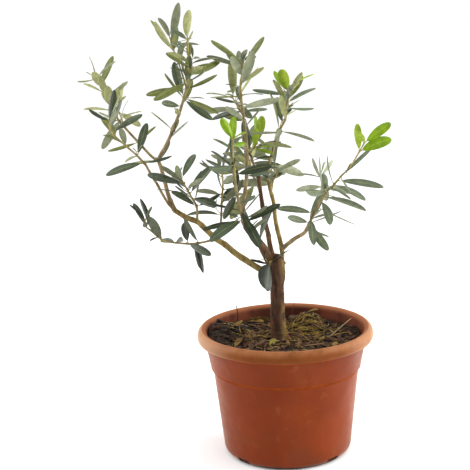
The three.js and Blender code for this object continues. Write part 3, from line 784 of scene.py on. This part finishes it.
def pot_inside_material():
    """The wall above the soil, stained by earth and water and painted darker as shade inside the pot, with
    painted light towards the top of the lip
    """
    look = Look("pot_inside", 0.12, 0.75)
    height = look.axis("Z")
    stain = look.noise(46, 7, look.stretched(0.6))
    # Tones set darker than the outside: earth and water stains together with painted shade
    base = look.tint((0.080, 0.022, 0.012), stain, 0.38, 0.64, (0.165, 0.044, 0.020))
    # Paler towards the top of the lip: wear together with painted light
    base = look.tint(base, height, 0.1268, 0.1312, (0.34, 0.125, 0.050), 0.8)
    # Darker just above the soil
    base = look.tint(base, height, 0.1215, 0.1165, (0.04, 0.022, 0.014), 0.75)
    return look.finish(base, look.noise(420, 4), 0.1)


def mottled_material(name, dark, light, scale, roughness, depth, specular=MOTTLE_GLOSS):
    """Two tones of one colour in a fine mottle"""
    look = Look(name, specular, roughness)
    base = look.tint(dark, look.noise(scale, 5), 0.35, 0.65, light)
    return look.finish(base, look.noise(2.5 * scale, 3), depth)


def mottled(*names):
    return [mottled_material(name, *MOTTLED[name]) for name in names]


def trunk_material():
    """Dark brown bark with red patches, and yellow lichen up its right side, painted there as light falling
    from the right
    """
    look = Look("trunk_bark", 0.15, 0.85)
    height = look.axis("Z")
    fibre = look.noise(260, 6, look.stretched(0.2))
    base = look.tint((0.034, 0.018, 0.011), fibre, 0.34, 0.66, (0.100, 0.052, 0.029))
    base = look.tint(base, look.noise(70, 4), 0.47, 0.62, (0.120, 0.038, 0.016), 0.8)
    # Yellow patches only on the right side: lichen colour placed as painted light where the right panel falls
    side = look.span(look.axis("X"), (TRUNK_FOOT[0] + 0.5) * MM, (TRUNK_FOOT[0] + 5) * MM)
    lichen_and_lit_side = look.times(side, look.span(look.noise(120, 5), 0.38, 0.6))
    belts = look.plus(look.span(height, 0.172, 0.126, 0.3, 0.9), look.span(height, 0.182, 0.192, 0, 0.5))
    base = look.mix(look.times(lichen_and_lit_side, belts), base, (0.19, 0.125, 0.030))
    return look.finish(base, fibre, 0.3)


@functools.cache
def bark_material(name):
    """Thin olive-brown bark with paler streaks and dark specks"""
    shade, light, speck = BARKS[name]
    look = Look(name, 0.2, 0.75)
    streak = look.noise(170, 5, look.stretched(0.45))
    base = look.tint(shade, streak, 0.36, 0.64, light)
    base = look.tint(base, look.noise(430, 3), 0.58, 0.70, speck, 0.75)
    return look.finish(base, streak, 0.15)


def leaf_material(name, color, roughness, specular):
    """One leaf colour with a faint mottle and a leathery surface"""
    look = Look(name, specular)
    shade = [0.82 * value for value in color]
    light = [1.18 * value for value in color]
    base = look.tint(shade, look.noise(190, 5), 0.3, 0.7, light)
    look.roughen(260, 4, roughness - 0.06, roughness + 0.1)
    return look.finish(base, look.noise(900, 3), 0.04)


# Pot and soil
def arc(radius, height, wide, high, start, end, steps):
    """Points on an arc of an ellipse, from one angle to the other"""
    angles = [math.radians(start + (end - start) * k / steps) for k in range(steps + 1)]
    return [(radius + wide * math.cos(a), height + high * math.sin(a)) for a in angles]


def make_pot():
    lip = RIM_RADIUS - RIM_CREST
    mouth = RIM_CREST - RIM_MOUTH
    foot = BODY_FOOT_RADIUS - BASE_RADIUS
    ledge = COLLAR_FOOT_RADIUS - BODY_TOP_RADIUS
    outside = [
        (BASE_RADIUS - 1.5, 0),
        (BASE_RADIUS, 0.2),
        *arc(BASE_RADIUS, BODY_FOOT_HEIGHT, foot, BODY_FOOT_HEIGHT * BASE_ROUNDING, -70, 0, 8),
        (BODY_TOP_RADIUS - 0.1, BODY_TOP_HEIGHT - 1.2),
        (BODY_TOP_RADIUS + 0.1, BODY_TOP_HEIGHT - 0.2),
        *arc(BODY_TOP_RADIUS, COLLAR_FOOT_HEIGHT + 0.4, ledge, ledge, -80, 0, 6),
        (COLLAR_TOP_RADIUS - 0.1, RIM_UNDER_HEIGHT - 1.2),
        (COLLAR_TOP_RADIUS + 0.3, RIM_UNDER_HEIGHT - RIM_UNDERCUT),
        *arc(RIM_CREST, RIM_WIDEST_HEIGHT, lip, RIM_WIDEST_HEIGHT - RIM_UNDER_HEIGHT, -90, 0, 8),
        *arc(RIM_CREST, RIM_WIDEST_HEIGHT, lip, POT_HEIGHT - RIM_WIDEST_HEIGHT, 0, 90, 12)[1:],
    ]
    inside = [
        *arc(RIM_CREST, RIM_INNER_HEIGHT, mouth, POT_HEIGHT - RIM_INNER_HEIGHT, 90, 180, 8)[1:],
        (COLLAR_TOP_RADIUS - WALL, RIM_UNDER_HEIGHT - RIM_UNDERCUT),
        (COLLAR_FOOT_RADIUS - WALL, COLLAR_FOOT_HEIGHT),
        (BODY_TOP_RADIUS - WALL, BODY_TOP_HEIGHT),
        (BODY_FOOT_RADIUS - WALL, BODY_FOOT_HEIGHT),
        (BASE_RADIUS - WALL, FLOOR),
    ]
    looks = []
    for _, height in outside[1:]:
        # Faces in the crease bands take the painted shading colour
        in_fold = any(low < height < high for low, high in POT_SHADING_FOLDS)
        looks.append(POT_FOLD_SHADING if in_fold else POT_RIM if height > RIM_UNDER_HEIGHT else POT_BODY)
    looks += [POT_INSIDE] * len(inside) + [POT_BODY, POT_INSIDE]
    across = np.array([1.0, 0, 0])
    rings = [ring(z * UP, r, across, -VIEWER, POT_SIDES) for r, z in outside + inside]
    heap = Heap()
    heap.add(*loft(rings, (0, 0, 0), (0, 0, FLOOR)), np.repeat(looks, POT_SIDES).tolist())
    skins = [pot_material(), pot_rim_material(), pot_inside_material(), *mottled("pot_fold_shading")]
    cut_notches(heap.piece("pot_shell", skins, POT_CREASE, "pot", "pot"))


def cut_notches(pot):
    """The drainage notches round the foot"""
    cutter = bmesh.new()
    for bearing in NOTCH_BEARINGS:
        size = Matrix.Diagonal((2 * NOTCH_DEPTH * MM, NOTCH_WIDTH * MM, 2 * NOTCH_HEIGHT * MM, 1))
        turn = Matrix.Rotation(math.radians(bearing), 4, "Z")
        move = Matrix.Translation((BODY_FOOT_RADIUS * MM, 0, 0))
        bmesh.ops.create_cube(cutter, size=1, matrix=turn @ move @ size)
    mesh = bpy.data.meshes.new("notches")
    cutter.to_mesh(mesh)
    cutter.free()
    # The notch faces take the darker inside colour: painted shade in the notches
    mesh.polygons.foreach_set("material_index", [POT_INSIDE] * len(mesh.polygons))
    notches = placed("notches", mesh)
    cut = pot.modifiers.new("notches", "BOOLEAN")
    cut.object = notches
    cut.solver = "EXACT"
    shaped = bpy.data.meshes.new_from_object(pot.evaluated_get(bpy.context.evaluated_depsgraph_get()))
    pot.modifiers.clear()
    pot.data = shaped
    smooth(shaped, POT_CREASE)
    bpy.data.objects.remove(notches)


def soil_height(x, y):
    """The soil's surface, heaped in places and lower towards the wall"""
    edge = SOIL_EDGE_DROP * float(smoothstep(math.hypot(x, y), 0.8 * SOIL_RADIUS, SOIL_RADIUS))
    heaped = sum(high * bell(math.hypot(x - at_x, y - at_y), wide) for at_x, at_y, high, wide in HEAPS)
    lumps = noise.fractal(Vector((x, y, 3)) * SOIL_GRAIN, *SOIL_FRACTAL)
    return SOIL_TOP - edge + heaped + SOIL_LUMPS * lumps


def on_soil(x, y, lift=0):
    """The point on the soil at a place, or above it"""
    return np.array([x, y, soil_height(x, y) + lift])


def make_soil():
    grid = []
    for k in range(SOIL_RINGS, 0, -1):
        radius = SOIL_RADIUS * k / SOIL_RINGS
        grid.append([on_soil(*polar(radius, angle)) for angle in around(SOIL_SIDES)])
    depth = COLLAR_FOOT_HEIGHT + GAP
    narrow = (COLLAR_FOOT_RADIUS - WALL - 2 * GAP) / SOIL_RADIUS
    bottom = [(x * narrow, y * narrow, depth) for x, y, _ in grid[0]]
    heap = Heap()
    heap.add(*loft([bottom, *grid], (0, 0, depth), on_soil(0, 0)), 0)
    heap.piece("soil_bed", mottled("compost"), SOIL_CREASE, "soil", "soil")


# What lies on the soil
def turned_about(ways, places):
    """Points given along three ways"""
    return np.asarray(places) @ np.array(ways)


def lying(deal, tilt):
    """Three ways for something that lies on the soil, turned at random and tilted a little"""
    turn = Matrix.Rotation(deal.uniform(0, 2 * math.pi), 3, "Z")
    lean = Matrix.Rotation(math.radians(deal.gauss(0, tilt)), 3, "X")
    rock = Matrix.Rotation(math.radians(deal.gauss(0, tilt)), 3, "Y")
    return np.array((turn @ lean @ rock).transposed())


def spot_on_soil(deal, edge):
    """A place on the soil, clear of the trunk and of an edge along the wall"""
    while True:
        radius = (SOIL_RADIUS - edge) * math.sqrt(deal.random())
        x, y = polar(radius, deal.uniform(0, 2 * math.pi))
        if math.hypot(x - TRUNK_FOOT[0], y - TRUNK_FOOT[1]) > TRUNK_CLEARANCE:
            return x, y


def drawn_in(x, y, edge):
    """A place on the soil, moved inwards where it is over the edge along the wall"""
    pull = min(1, (SOIL_RADIUS - edge) / math.hypot(x, y))
    return x * pull, y * pull


def make_crumbs():
    """Lumps of compost, larger and darker in the heap on the left"""
    ball = bmesh.new()
    bmesh.ops.create_icosphere(ball, subdivisions=2, radius=1)
    shape = np.array([v.co for v in ball.verts])
    faces = [[v.index for v in f.verts] for f in ball.faces]
    ball.free()
    deal = random.Random(CRUMB_SEED)
    heap = Heap()
    for _ in range(CRUMB_COUNT):
        x, y = spot_on_soil(deal, CRUMB_EDGE)
        size = deal.choice(CRUMB_SIZES) * (LEFT_HEAP_SIZE if x < LEFT_HEAP else 1)
        x, y = drawn_in(x, y, CRUMB_REACH * size)
        shift = Vector((deal.uniform(0, 90), deal.uniform(0, 90), 0))
        bumps = np.array([0.7 + 0.65 * noise.noise(Vector(p) * 1.4 + shift) for p in shape])
        flat = np.array([deal.uniform(0.8, 1.5), deal.uniform(0.6, 1.1), deal.uniform(0.45, 0.85)])
        lump = turned_about(lying(deal, CRUMB_TILT), shape * bumps[:, None] * flat * size)
        look = deal.choice((0, 0, 0, 1) if abs(x) > DARK_CRUMBS else (0, 0, 1, 1, 1, 2))
        heap.add(lump + on_soil(x, y, CRUMB_LIFT * size), faces, look)
    heap.piece("soil_crumbs", mottled("crumb_black", "crumb_brown", "crumb_red"), SMOOTH, "soil")


def chip_mesh(deal, long, wide, thick):
    """A broken sliver of bark that lies along X"""
    rings = []
    for share in CHIP_SHARES:
        taper = (1 - 0.5 * abs(share) ** 3) * deal.uniform(0.7, 1.1)
        bow = deal.gauss(0, 0.06 * long)
        rings.append([
            (0.5 * share * long, 0.5 * taper * wide * a + bow * 0.5, 0.5 * thick * b + 0.2 * bow)
            for a, b in CHIP_SECTION
        ])
    return loft(rings, np.mean(rings[0], axis=0), np.mean(rings[-1], axis=0))


def make_chips():
    """Slivers of bark in the compost"""
    deal = random.Random(CHIP_SEED)
    heap = Heap()
    for _ in range(CHIP_COUNT):
        x, y = spot_on_soil(deal, CHIP_EDGE)
        thick = deal.uniform(0.7, 2)
        places, faces = chip_mesh(deal, long=deal.uniform(4, 14), wide=deal.uniform(1.6, 5), thick=thick)
        look = deal.choice((0, 0, 1, 1) if abs(x) > DARK_CHIPS else (0, 1, 1, 1, 2, 2))
        chip = turned_about(lying(deal, CHIP_TILT), places)
        heap.add(chip + on_soil(x, y, CHIP_LIFT * thick), faces, look)
    for start, end, wide, look in LOGS:
        start, end = np.array(start, float), np.array(end, float)
        along = unit(end - start)
        over = square_to(along, UP)
        places, faces = chip_mesh(deal, np.linalg.norm(end - start), wide, LOG_FLATNESS * wide)
        log = turned_about((along, np.cross(over, along), over), places)
        heap.add(log + 0.5 * (start + end), faces, look)
    looks = mottled("chip_dark", "chip_brown", "chip_tan", "chip_gold")
    heap.piece("bark_chips", looks, CHIP_CREASE, "soil")


def strand(start, end, radius, bow):
    """A thin stalk between two points, bowed up and to the side"""
    start, end = np.array(start, float), np.array(end, float)
    along = unit(end - start)
    across = unit(np.cross(along, UP)) if abs(along[2]) < 0.95 else np.array([1.0, 0, 0])
    over = np.cross(across, along)
    rings = []
    for share in np.arange(STRAND_STEPS + 1) / STRAND_STEPS:
        rise = 4 * share * (1 - share)
        middle = start + (end - start) * share + rise * (bow[0] * across + bow[1] * over)
        rings.append(ring(middle, radius * (1 - STRAND_TAPER * share), across, over, STRAND_SIDES))
    return loft(rings, start, end)


def add_straw(heap, deal, x, y, half, bearing, lift, radius, look):
    """A stalk that lies on the soil, kept inside the pot"""
    ends = []
    for way in (-half, half):
        along, aside = polar(way, bearing)
        end = drawn_in(x + along, y + aside, STRAW_END_EDGE)
        ends.append(on_soil(*end, lift + deal.uniform(-0.4, 0.6)))
    bow = (deal.gauss(0, 0.16 * half), deal.uniform(0, 0.12 * half))
    heap.add(*strand(*ends, radius, bow), look)


def make_straw():
    """Dry grass and stalks, laid thickly over the mound beside the trunk and thinly elsewhere"""
    deal = random.Random(STRAW_SEED)
    draw = deal.uniform
    heap = Heap()
    for _ in range(MOUND_STRAWS):
        row = deal.randrange(MOUND_ROWS)
        x = deal.gauss(MOUND[0], MOUND_SPREAD[0])
        y = deal.gauss(MOUND[1] + MOUND_ROW_STEP * row, MOUND_SPREAD[1])
        radius = draw(0.25, 0.55)
        look = deal.choice((0, 0, 1, 1, 3))
        add_straw(heap, deal, x, y, draw(2, 7), deal.gauss(0.05, 0.3), draw(0.8, 2.6), radius, look)
    for _ in range(NEST_STRAWS):
        turn = draw(0, 2 * math.pi)
        x = NEST[0] + NEST_REACH[0] * math.cos(turn)
        y = NEST[1] + NEST_REACH[1] * math.sin(turn)
        bearing = turn + math.pi / 2
        add_straw(heap, deal, x, y, draw(3, 6), bearing, draw(1, 4), 0.4, deal.choice((1, 2, 3)))
    for _ in range(LOOSE_STRAWS):
        x, y = spot_on_soil(deal, LOOSE_EDGE)
        radius = draw(0.25, 0.6)
        look = deal.choice((0, 1, 3, 3, 2))
        add_straw(heap, deal, x, y, draw(4, 11), draw(0, math.pi), draw(0.4, 2), radius, look)
    for start, end, radius, look in STALKS:
        heap.add(*strand(start, end, radius, STALK_BOW), look)
    heap.piece("straw", mottled("straw_olive", "straw_gold", "straw_pale", "stalk_dark"), SMOOTH, "soil")


def make_fallen_leaves():
    """Old leaves on the soil, yellow to brown"""
    deal = random.Random(FALLEN_SEED)
    heap = Heap()
    spots = list(FALLEN)
    for _ in range(FALLEN_COUNT):
        spots.append((*spot_on_soil(deal, LOOSE_EDGE), deal.uniform(10, 17), deal.choice((1, 2, 2, 2))))
    for x, y, length, look in spots:
        ways = lying(deal, FALLEN_TILT)
        places, faces, _ = leaf_mesh({
            "base": on_soil(x, y, FALLEN_LIFT) - 0.5 * length * ways[0],
            "way": ways[0],
            "face": ways[2],
            "length": length,
            "width": length * deal.uniform(0.34, 0.5),
            "curl": deal.uniform(-0.35, 0.1),
            "fold": deal.uniform(-0.2, 0.8),
            "sway": deal.gauss(0, 0.08),
        })
        heap.add(places, faces, look)
    looks = mottled("dry_leaf_olive", "dry_leaf_ochre", "dry_leaf_brown")
    heap.piece("fallen_leaves", looks, FALLEN_CREASE, "soil")


# Trunk and boughs
def wood_noise(sides, reach, girth, grain, stretch):
    """Noise that runs along a limb, at the points round it"""
    spots = [Vector((*polar(girth, angle), reach * stretch)) for angle in around(sides)]
    return np.array([noise.noise(spot * grain) for spot in spots])


def trunk_mesh(path):
    thick, thin = LIMBS["trunk"].radius
    lobes = 1 + FLARE_LOBE_SHARE * np.cos(FLARE_LOBES * around(TRUNK_SIDES))
    skins = []
    for place in np.arange(TRUNK_RINGS + 1) / TRUNK_RINGS:
        middle = path.at(place)
        rise = middle[2] - TRUNK_FOOT[2]
        girth = thick * (1 - place) + thin * place
        girth = girth + FLARE_RADIUS * math.exp(-max(rise, 0) / FLARE_HEIGHT) * lobes
        girth += FORK_SWELL * float(smoothstep(place, FORK_START, FORK_FULL))
        for height, grain, stretch in TRUNK_RELIEF:
            girth += height * wood_noise(TRUNK_SIDES, rise, TRUNK_GIRTH, grain, stretch)
        for height, depth in TRUNK_SCARS:
            girth += depth * bell(rise - height, SCAR_WIDTH)
        skins.append(ring(middle, girth, VIEWER, np.cross(UP, VIEWER), TRUNK_SIDES))
    top = path.at(1)
    rim = skins[-1] - top
    for angle in TRUNK_DOME_ANGLES:
        skins.append(top + turned(rim, TRUNK_DOME * UP, angle))
    return loft(skins, path.at(0), top + TRUNK_DOME * UP)


def limb_mesh(path, radius, sides, step, knots, roughness, collar=0.3, swell=0.28):
    """A tapering limb with bark along it, a collar at its foot and a swelling at each knot"""
    rings = max(4, round(path.length / step))
    skins = []
    for place in np.arange(rings + 1) / rings:
        reach = place * path.length
        middle, _, front, side = path.frame(place)
        taper = radius[0] + (radius[1] - radius[0]) * place
        girth = taper * (1 + collar * math.exp(-reach / (COLLAR_REACH * radius[0])))
        for knot in knots:
            girth += swell * taper * bell(reach - knot * path.length, KNOT_REACH * taper)
        relief = sum(
            height * wood_noise(sides, reach + shift, taper, grain / taper**0.5, stretch)
            for height, grain, stretch, shift in LIMB_RELIEF
        )
        skins.append(ring(middle, girth + roughness * taper**0.5 * relief, front, side, sides))
    return loft(skins, path.at(0), path.at(1) + TIP_REACH * radius[1] * path.frame(1)[1])


def knots_along(path, deal):
    """Places of the old leaf scars along a limb"""
    count = max(1, int(path.length / KNOT_SPACING))
    return [(k + 0.5 + deal.uniform(-0.2, 0.2)) / count for k in range(count)]


def make_limbs(paths):
    """A piece with bark relief for the trunk and for each bough"""
    heap = Heap()
    heap.add(*trunk_mesh(paths["trunk"]), 0)
    stub = limb_mesh(path_of(STUB, paths), STUB.radius, BOUGH_SIDES, step=0.6, knots=(0.8,), roughness=0.4)
    heap.add(*stub, 0)
    heap.piece("trunk_bark", [trunk_material()], SMOOTH, "bark", "trunk")
    trees = []
    deal = random.Random(KNOT_SEED)
    for name, limb in LIMBS.items():
        if name == "trunk":
            continue
        knots = knots_along(paths[name], deal)
        bough = limb_mesh(paths[name], limb.radius, BOUGH_SIDES, 0.7, knots, roughness=0.3, swell=0.1)
        trees.append(BVHTree.FromPolygons(*bough))
        heap = Heap()
        heap.add(*bough, 0)
        bark = bark_material(BOUGH_BARKS.get(name, "bough_high"))
        heap.piece(f"{name}_bark", [bark], SMOOTH, "bark", name)
    return trees


# Leaves and twigs
def leaf_width(share):
    """A leaf's width at a share of its length, as a share of its full width"""
    if share < LEAF_STALK_SHARE:
        return LEAF_STALK_WIDTH
    blade = (share - LEAF_STALK_SHARE) / (1 - LEAF_STALK_SHARE)
    widest = LEAF_TAPER / (LEAF_TAPER + LEAF_BLUNTNESS)
    oval = (blade / widest) ** LEAF_TAPER * ((1 - blade) / (1 - widest)) ** LEAF_BLUNTNESS
    return max(LEAF_STALK_WIDTH * (1 - blade), oval)


def leaf_mesh(leaf):
    """A closed leaf with a folded blade, and the part of the skin that each face is on"""
    way, face, length = leaf["way"], leaf["face"], leaf["length"]
    across = np.cross(way, face)
    rings = []
    for share in LEAF_SHARES:
        middle = leaf["base"] + length * (way * share - (face * leaf["curl"] + UP * LEAF_SAG) * share**2)
        middle = middle + across * length * leaf["sway"] * share**2
        wide = 0.5 * leaf["width"] * leaf_width(share)
        thick = 0.5 * LEAF_THICKNESS * (1 - 0.5 * share)
        in_blade = share > LEAF_STALK_SHARE
        upper = []
        under = []
        for u in LEAF_ACROSS:
            lift = wide * leaf["fold"] * u * u if in_blade else 0
            body = thick * (1 - u * u)
            groove = RIB_GROOVE * thick if abs(u) == RIB and in_blade else 0
            spine = middle + across * u * wide + face * lift
            upper.append(spine + face * (body - groove))
            under.append(spine - face * (body + groove))
        rings.append(upper + under[-2:0:-1])
    places, faces = loft(rings, rings[0][RIB_SIDE], rings[-1][RIB_SIDE])
    blade = [UPPER] * UPPER_SIDES + [UNDER] * (LEAF_SIDES - UPPER_SIDES)
    blade[RIB_SIDE] = STALK
    stalk = [STALK] * (STALK_BELTS * LEAF_SIDES)
    ends = [STALK] * (2 * LEAF_SIDES)
    return places, faces, stalk + blade * (len(LEAF_SHARES) - 1 - STALK_BELTS) + ends


def leaf_at(spot, place, index, half, draws, size=1, breadth=1, nudge=0):
    """One leaf of a pair, which stands across the shoot a quarter turn on from the pair before"""
    middle, along, front, side = spot
    keep, turn, opening, big, bend, twist = draws
    roll = 90 * index + 180 * half + swing(turn, ROLL_SLACK) + nudge
    spread = SPREAD_LOW + (SPREAD_TIP - SPREAD_LOW) * place + swing(opening, SPREAD_SLACK)
    way = turned(along, turned(side, front, roll), spread)
    face = square_to(way, along + SKYWARD * UP)
    length = size * LEAF_LENGTH * (1 + swing(big, LEAF_LENGTH_SLACK))
    return {
        "base": middle,
        "way": way,
        "face": turned(face, np.cross(way, face), swing(twist, TWIST_SLACK)),
        "length": length,
        "width": breadth * length * (LEAF_WIDTH_SHARE + LEAF_WIDTH_SLACK * keep),
        "curl": swing(bend, LEAF_CURL),
    }


def spray_on(name):
    """The spray that the leaves on a bough, a shoot or a side twig belong to"""
    if name in LIMBS:
        return BOUGH_SPRAYS[name]
    return SHOOTS[name].on if SHOOTS[name].on in SHOOTS else name


def grow_paths():
    paths = {}
    for name, limb in (*LIMBS.items(), *SHOOTS.items()):
        paths[name] = path_of(limb, paths)
    return paths


class Crown:
    """The sprays as they grow, with what each new leaf has to keep clear of"""

    def __init__(self, paths, limb_trees):
        self.paths = paths
        self.limb_trees = limb_trees
        self.leaf_trees = []
        self.stem_trees = {}
        self.twigs = {spray: Heap() for spray in TONES}
        self.leaves = {spray: Heap() for spray in TONES}

    def grow_stem(self, name):
        """A stem that turns from brown to green, with a bud at its tip"""
        shoot = SHOOTS[name]
        path = self.paths[name]
        knots = [place for _, *places in shoot.growths for place in places]
        places, faces = limb_mesh(path, shoot.radius, STEM_SIDES, 1, knots, roughness=0.12, collar=0.25)
        rings = round(path.length)
        looks = [int(k // STEM_SIDES / rings > GREEN_FROM) for k in range(len(faces))]
        self.twigs[spray_on(name)].add(places, faces, looks)
        self.stem_trees[name] = BVHTree.FromPolygons(places, faces)
        self.add_bud(spray_on(name), *path.frame(1)[:2])

    def add_bud(self, spray, base, way):
        """A small pointed bud"""
        across = unit(np.cross(way, VIEWER + 0.3 * UP))
        over = BUD_FLATNESS * np.cross(way, across)
        rings = []
        for share, girth in BUD_SHAPE:
            rings.append(ring(base + way * BUD_LENGTH * share, BUD_RADIUS * girth, across, over, BUD_SIDES))
        self.twigs[spray].add(*loft(rings, base, base + way * BUD_LENGTH), 1)

    def is_clear(self, tree, own):
        """Whether a leaf's blade misses every limb, the other shoots' stems and the leaves before it"""
        stems = [other for name, other in self.stem_trees.items() if name != own]
        return not any(tree.overlap(other) for other in (*self.limb_trees, *stems, *self.leaf_trees))

    def add_leaf(self, spray, own, leaf, look):
        """Adds a leaf if there is room for it, and says whether there was"""
        places, faces, parts = leaf_mesh(leaf)
        tree = BVHTree.FromPolygons(places, faces[TOUCHING_BELTS * LEAF_SIDES:-2 * LEAF_SIDES])
        if not self.is_clear(tree, own):
            return False
        self.leaf_trees.append(tree)
        first = LEAF_TONES.index(look) * len(LEAF_SKINS)
        self.leaves[spray].add(places, faces, [first + part for part in parts])
        return True

    def grow_leaves(self, name, growths):
        """Leaf pairs, each leaf with a twiglet or a bud in its axil"""
        spray = spray_on(name)
        index = 0
        for seed, *places in growths:
            chance = chance_from(seed)
            finer = random.Random(seed)
            young = seed in YOUNG_GROWTHS
            shape = YOUNG if young else SHAPED.get(spray, PLAIN)
            for place in places:
                spot = self.paths[name].frame(place)
                for half in (0, 1):
                    draws = [chance() for _ in range(6)]
                    finish = {"fold": finer.uniform(-0.6, 0.4), "sway": finer.gauss(0, 0.05)}
                    look = "young" if young else finer.choice(TONES[spray])
                    bears_twiglet = finer.random() < TWIGLET_SHARE
                    if draws[0] < LEAF_MISSING:
                        continue
                    for nudge in NUDGES:
                        leaf = leaf_at(spot, place, index, half, draws, *shape, nudge) | finish
                        if self.add_leaf(spray, name, leaf, look):
                            break
                    if bears_twiglet:
                        self.grow_twiglet(name, spot, leaf["way"], finer, look)
                    else:
                        self.add_bud(spray, spot[0] + 0.8 * leaf["way"], unit(spot[1] + 0.5 * leaf["way"]))
                index += 1

    def grow_twiglet(self, name, spot, way, finer, look):
        """A short twig in a leaf's axil, with a pair of small leaves"""
        spray = spray_on(name)
        way = unit(0.9 * spot[1] + way)
        length = TWIGLET_LENGTH * finer.uniform(0.6, 1.3)
        self.twigs[spray].add(*strand(spot[0], spot[0] + way * length, TWIGLET_RADIUS, (0, 0.4)), 1)
        front = square_to(way, VIEWER)
        tip = (spot[0] + way * length * 0.95, way, front, np.cross(way, front))
        start = finer.randrange(2)
        for half in (0, 1):
            draws = [finer.random() for _ in range(6)]
            leaf = leaf_at(tip, 1, start, half, draws, TWIGLET_LEAF * finer.uniform(0.8, 1.3))
            self.add_leaf(spray, name, leaf | {"fold": 0.3, "sway": 0}, look)


def make_crown(paths, limb_trees):
    crown = Crown(paths, limb_trees)
    for name in SHOOTS:
        crown.grow_stem(name)
    for name, shoot in SHOOTS.items():
        crown.grow_leaves(name, shoot.growths)
    for name, *growth in LATE_GROWTHS:
        crown.grow_leaves(name, [growth])
    path = path_of(BARE_TIP, paths)
    tip = limb_mesh(path, BARE_TIP.radius, TIP_SIDES, 1, knots=(0.3, 0.65), roughness=0.1, collar=0)
    crown.twigs[BARE_TIP.on].add(*tip, 0)
    barks = [bark_material("twig_brown"), bark_material("twig_green")]
    skins = []
    for name, colors in LEAF_COLORS.items():
        for color, (part, roughness, specular) in zip(colors, LEAF_SKINS):
            skins.append(leaf_material(f"{part}_{name}", color, roughness, specular))
    for spray in TONES:
        crown.leaves[spray].piece(f"{spray}_leaves", skins, LEAF_CREASE, "leaf", spray)
        crown.twigs[spray].piece(f"{spray}_twigs", barks, SMOOTH, "bark", spray)


# Stage
def make_camera():
    yaw = Matrix.Rotation(CAMERA_YAW, 4, "Z")
    pitch = Matrix.Rotation(math.pi / 2 - CAMERA_PITCH, 4, "X")
    roll = Matrix.Rotation(CAMERA_ROLL, 4, "Z")
    move = Matrix.Translation([size * MM for size in CAMERA_PLACE])
    data = bpy.data.cameras.new("camera")
    data.sensor_width = SENSOR_WIDTH
    data.lens = CAMERA_FOCAL_PIXELS * SENSOR_WIDTH / PICTURE_PIXELS
    data.clip_start = 0.05
    data.clip_end = 100
    camera = placed("camera", data)
    camera.matrix_world = move @ yaw @ pitch @ roll
    bpy.context.scene.camera = camera


def add_light(name, kind, power, turn):
    light = placed(name, bpy.data.lights.new(name, kind))
    light.data.energy = power
    light.rotation_euler = turn
    return light


def make_stage():
    """A wide pale floor under even light, with a soft panel on either side"""
    floor = bpy.data.meshes.new("floor")
    corners = [(FLOOR_HALF * x, FLOOR_HALF * y, 0) for x, y in ((-1, -1), (1, -1), (1, 1), (-1, 1))]
    floor.from_pydata(corners, [], [(0, 1, 2, 3)])
    paper = Look("floor_paper", 0.1, 0.95)
    paper.set(paper.shader["Base Color"], FLOOR_TONE)
    floor.materials.append(paper.material)
    ground = placed("floor", floor)
    ground.location.z = -FLOOR_DROP
    world = bpy.data.worlds.new("studio")
    world.use_nodes = True
    sky = world.node_tree.nodes["Background"]
    sky.inputs["Color"].default_value = (1, 1, 1, 1)
    sky.inputs["Strength"].default_value = SKY_POWER
    bpy.context.scene.world = world
    sun = add_light("overhead", "SUN", SUN_POWER, [math.radians(angle) for angle in SUN_LEAN])
    sun.data.angle = math.radians(SUN_SPREAD)
    for name, (place, power) in PANELS.items():
        aim = Vector(PANEL_AIM) - Vector(place)
        panel = add_light(name, "AREA", power, aim.to_track_quat("-Z", "Y").to_euler())
        panel.location = place
        panel.data.size = PANEL_SIZE
    bpy.context.scene.view_settings.view_transform = "Standard"


make_camera()
make_stage()
make_pot()
make_soil()
make_crumbs()
make_chips()
make_straw()
make_fallen_leaves()
plant_paths = grow_paths()
make_crown(plant_paths, make_limbs(plant_paths))
